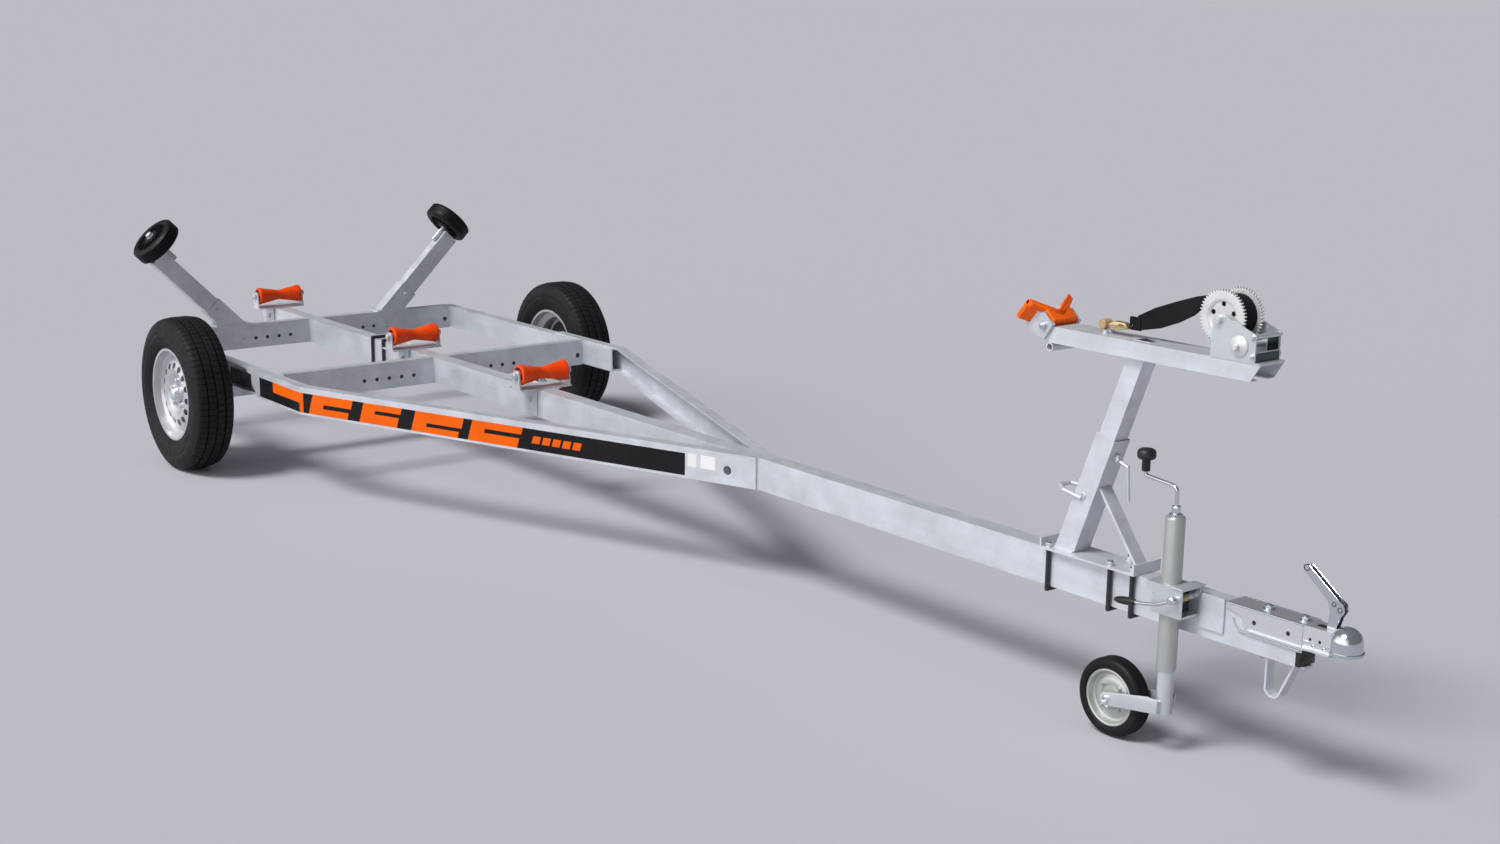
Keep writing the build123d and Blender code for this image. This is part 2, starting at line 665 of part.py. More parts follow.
CHEEK = [(-72, 0), (-46, 39), (-22, 40), (34, 8), (4, -34), (-22, -28)]  # from the pivot
DIAMOND = [(-30, -4), (0, 37), (31, 8), (3, -34)]
for s in (-1, 1):
    ys = sorted((s * cheek_y, s * (cheek_y + 4)))
    cheek = side_cut([(px + a, pz + b) for a, b in CHEEK], ys[0], ys[1])
    ys = sorted((s * (cheek_y + 4), s * (cheek_y + 8)))
    cheek += side_cut([(px + a, pz + b) for a, b in DIAMOND], ys[0], ys[1])
    cheek += rod((px, s * (cheek_y + 7), pz), (px, s * (cheek_y + 15), pz), 9.5)
    cheeks.append(cheek)
    slot = sorted((s * (cheek_y - 0.3), s * (cheek_y + 8.3)))
    stop_body -= block((px - 80, px + 50), slot, (pz - 40, pz + 42))
put("bow_stop", stop_body)
put("bow_stop_plates", *cheeks)

# ---------------- winch ----------------
base_z = ARM_Z[1] + 0.3
SIDE_PLATE = [  # upper edge of a winch side plate, from the drum's axis
    (-17, -8),
    (-10, 6),
    (4, 10),
    (14, 7),
    (106, -26),
]
plate_x = (DRUM_X - 19.0, DRUM_X + SIDE_PLATE[-1][0])
side_plate = [(DRUM_X + a, DRUM_Z + b) for a, b in SIDE_PLATE]
side_plate = [(plate_x[0], base_z)] + side_plate + [(plate_x[1], base_z)]
brace = (DRUM_X + 100.0, DRUM_Z - 32.0)
winch = block((plate_x[0], DRUM_X + 120), (-WINCH_Y - 3, WINCH_Y + 3), (base_z, base_z + 3))
winch += block((plate_x[1] - 4, plate_x[1]), (-WINCH_Y, WINCH_Y), (base_z, base_z + 26))
winch += rod((brace[0], -WINCH_Y - 3, brace[1]), (brace[0], WINCH_Y + 3, brace[1]), 6)
for s in (-1, 1):
    ys = sorted((s * WINCH_Y, s * (WINCH_Y + 3)))
    winch += side_cut(side_plate, ys[0], ys[1])
    winch += rod((DRUM_X, s * (WINCH_Y + 3), DRUM_Z - 4), (DRUM_X, s * (WINCH_Y + 14), DRUM_Z - 4), 10)
winch += rod((DRUM_X, -WINCH_Y - 4, DRUM_Z), (DRUM_X, WINCH_Y + 4, DRUM_Z), 7)
winch -= rod((PINION_X, -60, PINION_Z), (PINION_X, 60, PINION_Z), 8.05)
put("winch_frame", winch)

pinion = rod((PINION_X, -WINCH_Y - 22, PINION_Z), (PINION_X, WINCH_Y + 8, PINION_Z), 8)
pinion += rod((PINION_X, -WINCH_Y - 8, PINION_Z), (PINION_X, -WINCH_Y - 3.5, PINION_Z), 25)
pinion += rod((PINION_X, -GEAR_Y - 6, PINION_Z), (PINION_X, -GEAR_Y + 6, PINION_Z), PINION_R)
put("winch_pinion", pinion)

drum = None
for s in (-1, 1):
    g = turned(
        [(7.05, -GEAR_T / 2), (GEAR_R, -GEAR_T / 2), (GEAR_R, GEAR_T / 2), (7.05, GEAR_T / 2)],
        (DRUM_X, s * GEAR_Y, DRUM_Z),
    )
    dish = rod((DRUM_X, s * (GEAR_Y + 1), DRUM_Z), (DRUM_X, s * (GEAR_Y + 9), DRUM_Z), GEAR_DISH_R)
    dish -= rod((DRUM_X, s * (GEAR_Y - 1), DRUM_Z), (DRUM_X, s * (GEAR_Y + 10), DRUM_Z), 14)
    g -= dish
    for i in range(4):
        a = pi / 4 + i * pi / 2
        gx, gz = DRUM_X + 30 * cos(a), DRUM_Z + 30 * sin(a)
        g -= rod((gx, s * GEAR_Y - 20, gz), (gx, s * GEAR_Y + 20, gz), 6.5)
    drum = g if drum is None else drum + g
drum += turned([(7.05, -GEAR_Y), (20, -GEAR_Y), (20, GEAR_Y), (7.05, GEAR_Y)], (DRUM_X, 0, DRUM_Z))
put("winch_drum", drum)
wound_y = GEAR_Y - GEAR_T / 2 - 1.0
wound = turned(
    [(20.05, -wound_y), (DRUM_R, -wound_y), (DRUM_R, wound_y), (20.05, wound_y)],
    (DRUM_X, 0, DRUM_Z),
)
put("wound_strap", wound)

eye = (hook_x + 74.0, ARM_Z[1] + 28.0)
lift = radians(20.0)
reach = (DRUM_X - DRUM_R * sin(lift), DRUM_Z + DRUM_R * cos(lift))
STRAP_T = 4.0
touch = 0.3
dx, dz = reach[0] - eye[0], reach[1] - eye[1]
slope = hypot(dx, dz)
nx, nz = -dz / slope, dx / slope
STRAP_FORM = [  # part of the way from the drum to the hook, width, turn out of the flat
    (0.0, 50.0, 0.0),
    (0.15, 50.0, 22.0),
    (0.35, 50.0, 58.0),
    (0.55, 51.0, 80.0),
    (0.78, 51.0, 90.0),
    (1.0, 36.0, 90.0),
]
STRAP_SAG = 5.0
end_x, end_z = eye[0] + 20.0, eye[1] + 8.0


def strap_section(t, width, turn):
    """Cross-section of the strap, whose far edge rises as it turns upright."""
    x = reach[0] + nx * (touch + STRAP_T / 2) + (end_x - reach[0]) * t
    z = reach[1] + nz * (touch + STRAP_T / 2) + (end_z - reach[1]) * t - STRAP_SAG * sin(pi * t)
    up = sin(radians(turn))
    plane = Plane(origin=(x, 0, z), x_dir=(up * nx, cos(radians(turn)), up * nz), z_dir=(-dx, 0, -dz))
    return plane * Rectangle(width, STRAP_T)


sections = [strap_section(*row) for row in STRAP_FORM]
strap = loft(sections[:2], ruled=True)
for a, b in zip(sections[1:], sections[2:]):
    strap += loft([a, b], ruled=True)
strap -= rod((DRUM_X, -60, DRUM_Z), (DRUM_X, 60, DRUM_Z), DRUM_R + touch)
strap += block((eye[0] - 10, eye[0] + 23), (-3.5, 3.5), (eye[1] - 9, eye[1] + 23))
strap -= rod((eye[0] - 4, -30, eye[1] + 1), (eye[0] - 4, 30, eye[1] + 1), 3.8)
put("winch_strap", strap)
pin_at = (eye[0] - 4, eye[1] + 1)
hook = rod((pin_at[0], -20, pin_at[1]), (pin_at[0], 20, pin_at[1]), 3.5)
for s in (-1, 1):
    hook += bent_rod(
        [(pin_at[0] - a, s * b, pin_at[1] - c) for a, b, c in ((0, 17, 0), (28, 13, 3), (52, 4, 6))],
        3.5,
    )
hook += block((pin_at[0] - 66, pin_at[0] - 44), (-10, 10), (ARM_Z[1] + 14, pin_at[1] + 6))
hook += bent_rod(
    [
        (pin_at[0] - 60, 0, ARM_Z[1] + 18),
        (pin_at[0] - 88, 0, ARM_Z[1] + 22),
        (pin_at[0] - 98, 0, ARM_Z[1] + 12),
        (pin_at[0] - 88, 0, ARM_Z[1] + 4.6),
        (pin_at[0] - 62, 0, ARM_Z[1] + 16),
    ],
    4,
)
hook -= block((hook_x - 8.3, hook_x + 8.3), (-5.3, 5.3), (ARM_Z[1] - 1, ARM_Z[1] + 9.3))
hook -= block((ARM_X[0], eye[0]), (-60, 60), (ARM_Z[1] - 30, ARM_Z[1] + 0.3))
put("strap_hook", hook)

# ---------------- U-bolts ----------------
# x, top, bottom, closed end up
UBOLTS = [
    (AXLE_BOLTS_X[0], BEAM_TOP, BEAM_LOW - 72, True),
    (AXLE_BOLTS_X[1], BEAM_TOP, BEAM_LOW - 72, True),
]
UBOLTS += [(x, BEAM_TOP + 20, BEAM_LOW, False) for x in STAND_BOLTS_X]
loops = []
for x, z_top, z_low, up in UBOLTS:
    z_end = z_top + UBOLT_R + 1 if up else z_low - UBOLT_R - 1
    z_free = z_low if up else z_top
    legs = [(-1, z_free), (-1, z_end), (1, z_end), (1, z_free)]
    loops.append(bent_rod([(x, s * UBOLT_Y, z) for s, z in legs], UBOLT_R))
put("u_bolts", *loops)

# ---------------- jockey wheel ----------------
jx, jy = JOCKEY_X, JOCKEY_Y
tube = rod((jx, jy, JOCKEY_LOW), (jx, jy, JOCKEY_TOP), JOCKEY_R)
tube -= rod((jx, jy, JOCKEY_LOW - 1), (jx, jy, JOCKEY_TOP - 5), JOCKEY_R - JOCKEY_WALL)
tube -= rod((jx, jy, JOCKEY_TOP - 20), (jx, jy, JOCKEY_TOP + 5), 8.05)
put("jockey_tube", tube)

leg_r = JOCKEY_R - JOCKEY_WALL - LEG_CLEAR
leg = rod((jx, jy, LEG_LOW), (jx, jy, JOCKEY_LOW + 190), leg_r)
leg -= rod((jx, jy, LEG_LOW - 1), (jx, jy, JOCKEY_LOW + 191), leg_r - 3)
fork_top = JOCKEY_HUB_LOW + JOCKEY_FORK_H
for s in (-1, 1):
    ys = sorted((jy + s * (JW_W / 2 + 5), jy + s * (JW_W / 2 + 10)))
    leg += side_cut(
        [
            (jx - TRAIL - 16, JW_R - 12),
            (jx - TRAIL - 10, JW_R + 14),
            (jx - 30, fork_top),
            (jx + 18, fork_top),
            (jx + 18, JOCKEY_HUB_LOW + 6),
            (jx - 40, JOCKEY_HUB_LOW),
        ],
        ys[0],
        ys[1],
    )
leg += block(
    (jx - 14, jx + 18),
    (jy - JW_W / 2 - 10, jy + JW_W / 2 + 10),
    (JOCKEY_HUB_LOW + 6, fork_top),
)
leg += rod((jx - TRAIL, jy - JW_W / 2 - 16, JW_R), (jx - TRAIL, jy + JW_W / 2 + 16, JW_R), JOCKEY_PIN_R)
put("jockey_leg", leg)

spindle_r = 8.0
nut_low = JOCKEY_LOW + 190.3
nut = rod((jx, jy, nut_low), (jx, jy, nut_low + 20), leg_r)
nut -= rod((jx, jy, nut_low - 1), (jx, jy, nut_low + 21), spindle_r + 0.05)
put("jockey_nut", nut)

crank = rod((jx, jy, JOCKEY_LOW + 16), (jx, jy, JOCKEY_TOP + 26), spindle_r)
crank += bent_rod(
    [
        (jx, jy, JOCKEY_TOP + 20),
        (jx, jy, JOCKEY_TOP + 70),
        (jx - 95, jy, JOCKEY_TOP + 78),
        (jx - 98, jy, JOCKEY_TOP + 92),
    ],
    5,
)
put("jockey_crank", crank)
KNOB = [(0, 0), (10, 0), (10, 28), (21, 32), (23, 44), (18, 54), (0, 56)]
knob = turned(KNOB, (jx - 98, jy, JOCKEY_TOP + 88), "z")
put("crank_knob", knob - crank)

hjw = JW_W / 2
JOCKEY_TYRE = [  # radius, along the axle
    (JOCKEY_RIM_R + 0.3, -hjw + 4),
    (JW_R - 8, -hjw),
    (JW_R, -hjw + 10),
    (JW_R, hjw - 10),
    (JW_R - 8, hjw),
    (JOCKEY_RIM_R + 0.3, hjw - 4),
]
JOCKEY_RIM = [
    (JOCKEY_PIN_R + 0.05, -hjw - 2),
    (20, -hjw - 2),
    (24, -8),
    (60, -8),
    (JOCKEY_RIM_R, -hjw + 4),
    (JOCKEY_RIM_R, hjw - 4),
    (60, 8),
    (24, 8),
    (20, hjw + 2),
    (JOCKEY_PIN_R + 0.05, hjw + 2),
]
put("jockey_tyre", turned(JOCKEY_TYRE, (jx - TRAIL, jy, JW_R)))
put("jockey_rim", turned(JOCKEY_RIM, (jx - TRAIL, jy, JW_R)))

CLAMP_X = (jx - 48, jx + 60)
CLAMP_Z = (BEAM_TOP - 50, BEAM_TOP + 23)
clamp_y = jy - JOCKEY_R - 10.0          # outer face of the clamp housing
clamp_body = block(CLAMP_X, (clamp_y, -BEAM_W / 2 - 0.3), CLAMP_Z)
clamp_body -= rod((jx, jy, CLAMP_Z[0] - 5), (jx, jy, CLAMP_Z[1] + 5), JOCKEY_R + 0.3)
clamp_body -= block((jx + 29, jx + 70), (clamp_y + 4, -BEAM_W / 2 - 5), (CLAMP_Z[0] + 5, CLAMP_Z[1] - 5))
clamp_body -= block((jx - 60, jx - 29), (clamp_y - 5, -BEAM_W / 2 - 5), (CLAMP_Z[0] - 5, CLAMP_Z[1] - 22))
clamp_body += rod((jx + 45, clamp_y - 6, CLAMP_Z[1] - 26), (jx + 45, -BEAM_W / 2 - 2, CLAMP_Z[1] - 26), 8)
put("jockey_clamp", clamp_body)
lever_y = clamp_y - 12.3
lever = bent_rod(
    [
        (jx + 45, lever_y + 1, CLAMP_Z[1] - 26),
        (jx - 4, lever_y - 2, CLAMP_Z[1] - 48),
        (jx - 70, lever_y - 2, CLAMP_Z[1] - 57),
    ],
    4.5,
)
lever += rod((jx + 45, clamp_y - 6.3, CLAMP_Z[1] - 26), (jx + 45, lever_y - 6, CLAMP_Z[1] - 26), 10)
put("clamp_lever", lever)
grip = rod((jx - 62, lever_y - 2, CLAMP_Z[1] - 56), (jx - 126, lever_y - 2, CLAMP_Z[1] - 64), 10)
put("clamp_grip", grip - lever)

cover = block(COVER_X, (-BEAM_W / 2 - 6, -BEAM_W / 2 - 0.3), (BEAM_TOP - 76, BEAM_TOP + 8))
put("cover_plate", cover)

# ---------------- coupling ----------------
cx, cz = COUPLING_X, COUPLING_Z
sl = 4.0
sx0, sx1 = SLEEVE_X
side = BEAM_W / 2 + sl
coupling = block((sx0, sx1), (-side, side), (BEAM_TOP - 62, BEAM_TOP + sl + 1))
coupling -= block((sx0 - 9, sx1 + 9), (-BEAM_W / 2 - 0.3, BEAM_W / 2 + 0.3), (BEAM_TOP - 90, BEAM_TOP + 0.3))
coupling -= side_cut(
    [(sx0 - 9, BEAM_TOP - 6), (sx0 + 44, BEAM_TOP - 20), (sx0 + 66, BEAM_TOP - 70), (sx0 - 9, BEAM_TOP - 70)],
    -side - 5,
    side + 5,
)
neck_end = cx - 22.0
hn = NECK_W / 2
neck_low = cz - 34.0
neck_top = cz + 22.0


def tapered(near, far, wide, narrow, z0, z1):
    """A plan that narrows from the sleeve's width to the neck's."""
    half = [(near, wide), (near + 22, narrow), (far, narrow)]
    return plan_cut(half + [(x, -y) for x, y in reversed(half)], z0, z1)


coupling += tapered(sx1 - 8, neck_end, side, hn, neck_low, neck_top)
coupling -= tapered(sx1 - 9, neck_end + 1, side - sl, hn - sl, neck_low - 9, neck_top - sl)
for s in (-1, 1):
    flange = [  # along, out from the middle
        (sx0 + 66, side - 1),
        (sx0 + 66, side + 6),
        (sx1 + 2, side + 6),
        (sx1 + 20, hn + 8),
        (neck_end, hn + 8),
        (neck_end, hn - 4),
        (sx1 + 13, hn - 2),
        (sx1 - 2, side - 1),
    ]
    coupling += plan_cut([(x, s * y) for x, y in flange], neck_low, neck_low + 5)
coupling -= block((sx1 + 16, neck_end - 4), (-HANDLE_SLOT - 0.3, HANDLE_SLOT + 0.3), (cz + 10, cz + 60))
put("coupling", coupling)

nose_r = COUPLING_NOSE_R
rim_z = cz - RIM_DROP
head = rod((cx, 0, rim_z), (cx, 0, cz), DOME_R) + rod((cx, 0, rim_z), (cx, 0, rim_z + 7), nose_r)
head += Pos(cx, 0, cz) * Sphere(DOME_R)
head -= block((cx - 80, cx + 80), (-80, 80), (cz - 100, rim_z))
head += block((neck_end, cx - 10), (-hn, hn), (neck_low, cz + 18))
head -= block((cx - 100, neck_end + 0.05), (-80, 80), (cz - 100, cz + 100))
socket_z = cz - SOCKET_DROP
head -= Pos(cx, 0, socket_z) * Sphere(SOCKET_R)
head -= rod((cx, 0, cz - 80), (cx, 0, socket_z), SOCKET_R)
put("coupling_head", head)
HANDLE = [  # side view, from the slot's front end at the top of the neck
    (-26, -2),
    (-4, -2),
    (6, 30),
    (16, 46),
    (12, 62),
    (-2, 70),
    (-88, 134),
    (-102, 120),
    (-30, 62),
    (-22, 40),
]
hx, hz = neck_end - 1.0, cz + 24.0
handle = side_cut([(hx + a, hz + b) for a, b in HANDLE], -HANDLE_SLOT, HANDLE_SLOT)
TROUGH = [(-84, 118), (-92, 110), (-10, 44), (-2, 52)]
handle -= side_cut([(hx + a, hz + b) for a, b in TROUGH], -HANDLE_SLOT + 3, HANDLE_SLOT - 3)
put("coupling_handle", handle)
plug = block((BEAM_FRONT + 0.3, BEAM_FRONT + 12), (-BEAM_W / 2, BEAM_W / 2), (BEAM_LOW, BEAM_TOP - 52))
put("beam_plug", plug)
lz = BEAM_LOW - 0.3
loop = block(LOOP_X, (-LOOP_W / 2, LOOP_W / 2), (lz - LOOP_T, lz))
OUTER_V = [(0, -1), (0, -83.7), (14, -97.7), (32, -97.7), (42, -89.7), (82, -1)]
INNER_V = [(5, 9), (5, -81.7), (16, -92.7), (30, -92.7), (37, -87.7), (80, 9)]
hanging = side_cut([(LOOP_LEG_X + a, lz + b) for a, b in OUTER_V], -LOOP_W / 2, LOOP_W / 2)
hanging -= side_cut([(LOOP_LEG_X + a, lz + b) for a, b in INNER_V], -LOOP_W, LOOP_W)
loop += hanging
put("safety_loop", loop)
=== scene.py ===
from math import atan2, cos, pi, radians, sin

import bpy
from bpy.props import FloatProperty, FloatVectorProperty, IntProperty, PointerProperty
from mathutils import Matrix, Vector


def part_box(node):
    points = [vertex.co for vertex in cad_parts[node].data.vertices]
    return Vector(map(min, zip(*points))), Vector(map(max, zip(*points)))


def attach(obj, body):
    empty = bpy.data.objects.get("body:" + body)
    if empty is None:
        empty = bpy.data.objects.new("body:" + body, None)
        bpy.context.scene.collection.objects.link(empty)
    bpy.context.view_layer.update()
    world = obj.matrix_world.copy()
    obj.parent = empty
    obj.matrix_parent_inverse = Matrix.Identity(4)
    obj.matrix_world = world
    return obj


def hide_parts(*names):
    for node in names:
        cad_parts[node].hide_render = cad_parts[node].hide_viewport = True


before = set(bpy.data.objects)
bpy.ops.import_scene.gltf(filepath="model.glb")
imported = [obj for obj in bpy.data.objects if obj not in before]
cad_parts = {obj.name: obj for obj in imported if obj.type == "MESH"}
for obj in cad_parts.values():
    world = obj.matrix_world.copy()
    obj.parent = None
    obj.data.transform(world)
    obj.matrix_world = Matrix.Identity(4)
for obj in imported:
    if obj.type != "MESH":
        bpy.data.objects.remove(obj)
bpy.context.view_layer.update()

bl_info = {
    "name": "Boat trailer",
    "version": (1, 0, 0),
    "blender": (4, 5, 0),
    "location": "3D View > Sidebar > Trailer",
    "description": "Dresses the frame of a boat trailer: tyres, wheels, winch, coupling, bolts and finishes",
    "category": "Object",
}


def middle_of(node):
    """The middle of a node's box, along each axis."""
    return [(low + high) / 2 for low, high in zip(*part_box(node))]


def half_of(node, axis):
    """Half a node's extent along axis 0, 1 or 2."""
    low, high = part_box(node)
    return (high[axis] - low[axis]) / 2


# ---- places taken from the frame, in metres ----
AXLE_X, TYRE_MIDDLE, AXLE_Z = middle_of("tyre_left")
TYRE_R = half_of("tyre_left", 2)
RIM_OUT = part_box("rim_left")[1][1]
BEAM_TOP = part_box("main_beam")[1][2]
BEAM_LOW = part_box("main_beam")[0][2]
BEAM_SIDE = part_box("main_beam")[1][1]
STOCK = ("main_beam", "axle_beam", "axle_pads", "crossbeam_rear", "crossbeam_mid", "safety_loop",
         "front_rail_left", "front_rail_right", "rear_rail_left", "rear_rail_right", "winch_arm",
         "winch_post", "winch_stand", "support_arm_left", "support_arm_right", "cover_plate",
         "support_sleeve_left", "support_sleeve_right", "stand_grip",
         "keel_bracket_rear", "keel_bracket_mid", "keel_bracket_front")
BRIGHT = ("jockey_tube", "jockey_leg", "jockey_clamp", "jockey_crank", "jockey_nut", "clamp_lever",
          "post_clamp", "bow_stop_plates", "winch_frame", "hub_left", "hub_right")
ROLLER_SPOTS = ("rear", "mid", "front")

MIRROR = Matrix.Diagonal((1.0, -1.0, 1.0, 1.0))     # carries a piece to the other side
AHEAD, ACROSS, UP = (1, 0, 0), (0, 1, 0), (0, 0, 1)
SIDES = (-1, 1)       # right and left

# ---- camera ----
CAMERA_PLACE = (6876.2, -3560.3, 1771.3)   # millimetres, from the road wheels' axis line
CAMERA_TURN = radians(51.56)
CAMERA_TILT = radians(12.49)
CAMERA_ROLL = radians(0.84)
CAMERA_LENS = 45.85
CAMERA_SHIFT = (-0.0019, 0.0006)


def at(x, y, z):
    """A place given in millimetres from the road wheels' axis line, on the ground."""
    return Vector((AXLE_X + x / 1000, y / 1000, z / 1000))


# ---------------------------------------------------------------- modelling helpers

def begin():
    """Leaves object mode clean, with nothing selected."""
    if bpy.context.object and bpy.context.object.mode != "OBJECT":
        bpy.ops.object.mode_set(mode="OBJECT")
    bpy.ops.object.select_all(action="DESELECT")


def chosen(piece):
    """Leaves one piece alone selected and active."""
    begin()
    piece.select_set(True)
    bpy.context.view_layer.objects.active = piece


def edit():
    bpy.ops.object.mode_set(mode="EDIT")
    bpy.ops.mesh.select_all(action="SELECT")


def leave():
    bpy.ops.object.mode_set(mode="OBJECT")
    return bpy.context.object


def settle(piece, name):
    """Puts a piece's place into its mesh and its origin at the world's."""
    chosen(piece)
    bpy.ops.object.transform_apply(location=True, rotation=True, scale=True)
    piece.name = name
    piece.data.name = name
    return piece


def rounded(piece, width, segments=2, angle=30.0):
    """Bevels the sharp edges of the active piece and applies the modifier."""
    piece.select_set(True)
    bpy.context.view_layer.objects.active = piece
    modifier = piece.modifiers.new("Edge", "BEVEL")
    modifier.width = width
    modifier.segments = segments
    modifier.limit_method = "ANGLE"
    modifier.angle_limit = radians(angle)
    bpy.ops.object.modifier_apply(modifier=modifier.name)
    return piece


def smooth(piece, angle=35.0):
    chosen(piece)
    bpy.ops.object.shade_smooth_by_angle(angle=radians(angle), keep_sharp_edges=False)
    return piece


def outward(piece):
    """Merges doubles and turns every face outwards."""
    chosen(piece)
    edit()
    bpy.ops.mesh.remove_doubles(threshold=0.00002)
    bpy.ops.mesh.normals_make_consistent(inside=False)
    return leave()


def brick(name, low, high, bevel=0.0, segments=2):
    """A bar or plate between two corners, with softened edges."""
    begin()
    low, high = Vector(low), Vector(high)
    bpy.ops.mesh.primitive_cube_add(size=1.0, location=(low + high) / 2, scale=high - low)
    piece = settle(bpy.context.object, name)
    return rounded(piece, bevel, segments) if bevel else piece


def plate(name, outline, depth, plane="y", bevel=0.0, segments=2):
    """A flat plate: an outline in XZ, XY or YZ pushed along the plane's normal from its place."""
    begin()
    points = [Vector(p) for p in outline]
    push = {"x": Vector(AHEAD), "y": Vector(ACROSS), "z": Vector(UP)}[plane] * depth
    bpy.ops.mesh.primitive_plane_add(size=0.001, location=points[0])
    edit()
    bpy.ops.mesh.merge(type="CENTER")
    for here, there in zip(points, points[1:]):
        bpy.ops.mesh.extrude_region_move(TRANSFORM_OT_translate={"value": there - here})
    bpy.ops.mesh.select_all(action="SELECT")
    bpy.ops.mesh.edge_face_add()
    bpy.ops.mesh.extrude_region_move(TRANSFORM_OT_translate={"value": push})
    piece = settle(leave(), name)
    outward(piece)
    return rounded(piece, bevel, segments) if bevel else piece


def spun(name, profile, centre, axis=ACROSS, steps=48, closed=True):
    """A turned piece: (radius, along) pairs carried round an axis through a centre."""
    begin()
    axis = Vector(axis).normalized()
    side = axis.orthogonal().normalized()
    points = [Vector(centre) + side * r + axis * a for r, a in profile]
    bpy.ops.mesh.primitive_plane_add(size=0.0001, location=points[0])
    edit()
    bpy.ops.mesh.merge(type="CENTER")
    ring = points + ([points[0]] if closed else [])
    for here, there in zip(ring, ring[1:]):
        bpy.ops.mesh.extrude_region_move(TRANSFORM_OT_translate={"value": there - here})
    bpy.ops.mesh.select_all(action="SELECT")
    bpy.ops.mesh.spin(steps=steps, angle=2 * pi, center=centre, axis=axis)
    bpy.ops.mesh.select_all(action="SELECT")
    bpy.ops.mesh.remove_doubles(threshold=0.00002)
    bpy.ops.mesh.normals_make_consistent(inside=False)
    return settle(leave(), name)


def cylinder(name, radius, start, end, centre, axis, steps):
    """A plain solid cylinder between two places along an axis."""
    return spun(name, [(0.0, start), (radius, start), (radius, end), (0.0, end)], centre, axis, steps, False)


def hexagon(name, radius, height, place, bevel):
    """A six-sided bar that stands along +Z, its edges softened."""
    begin()
    bpy.ops.mesh.primitive_cylinder_add(vertices=6, radius=radius, depth=height, location=place)
    return rounded(settle(bpy.context.object, name), bevel)


def doubled(side, skipped=0):
    """A half profile of (radius, along) followed by its mirror half, less the points they share."""
    return side + [(radius, -along) for radius, along in reversed(side[skipped:])]


def swept(name, kind, points, radius, resolution, angle, thinning=1.0):
    """A round bar along points; every second point may be thinner."""
    begin()
    bpy.ops.curve.primitive_bezier_curve_add()
    bar = bpy.context.object
    bar.matrix_world = Matrix()
    bar.data.splines.clear()
    spline = bar.data.splines.new(kind)
    spline.points.add(len(points) - 1)
    for k, (point, place) in enumerate(zip(spline.points, points)):
        point.co = (*place, 1.0)
        point.radius = 1.0 if k % 2 else thinning
    if kind == "NURBS":
        spline.order_u = 3
        spline.use_endpoint_u = True
        spline.resolution_u = 8
    bar.data.dimensions = "3D"
    bar.data.bevel_depth = radius
    bar.data.bevel_resolution = resolution
    bar.data.use_fill_caps = True
    bpy.ops.object.convert(target="MESH")
    piece = settle(bpy.context.object, name)
    outward(piece)
    return smooth(piece, angle)


def rod(name, points, radius):
    """A round bar along points, rounded at its bends."""
    return swept(name, "NURBS", points, radius, 3, 50)


def copied(piece, name, matrix):
    """A copy with its own mesh, moved by a matrix that is then part of the mesh."""
    twin = piece.copy()
    twin.data = piece.data.copy()
    bpy.context.scene.collection.objects.link(twin)
    twin.data.transform(matrix)
    if matrix.determinant() < 0:
        twin.data.flip_normals()
    twin.name = name
    twin.data.name = name
    return twin


def joined(name, pieces):
    """One piece from several."""
    begin()
    for piece in pieces:
        piece.select_set(True)
    bpy.context.view_layer.objects.active = pieces[0]
    if len(pieces) > 1:
        bpy.ops.object.join()
    result = bpy.context.object
    result.name = name
    result.data.name = name
    return result


def dropped(*pieces):
    for piece in pieces:
        bpy.data.objects.remove(piece, do_unlink=True)


def facing(direction):
    """The turn that carries +Z onto a direction."""
    return Vector(UP).rotation_difference(Vector(direction).normalized()).to_matrix().to_4x4()


def placed(master, name, place, direction):
    """A copy of a small part modelled along +Z at the origin, set at a place and facing a way."""
    return copied(master, name, Matrix.Translation(Vector(place)) @ facing(direction))


def wear(piece, finish, body, slot, *nodes):
    """Gives a finished piece its material and its body, and hides the CAD nodes it stands for; its slot is
    not used.
    """
    piece.data.materials.clear()
    piece.data.materials.append(FINISHES[finish])
    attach(piece, body)
    if nodes:
        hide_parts(*nodes)
    return piece


def wear_pair(left, finish, body, slot, *nodes):
    """The same for a left piece and its mirror copy on the right, whose names differ in the side only."""
    right = copied(left, left.name.replace("left", "right"), MIRROR)
    wear(left, finish, body + "_left", slot, *(node + "_left" for node in nodes))
    wear(right, finish, body + "_right", slot, *(node + "_right" for node in nodes))


def finished(name, parts, angle, finish, body, slot, *nodes):
    """Joins parts into one piece, shades it unless the angle is none, and gives it what it wears."""
    piece = joined(name, parts)
    if angle:
        smooth(piece, angle)
    return wear(piece, finish, body, slot, *nodes)


def dress(finish, *nodes):
    """Gives CAD nodes a finished material."""
    for node in nodes:
        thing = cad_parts[node]
        if not thing.material_slots:
            thing.data.materials.append(FINISHES[finish])
        for slot in thing.material_slots:
            slot.material = FINISHES[finish]


# ---------------------------------------------------------------- materials

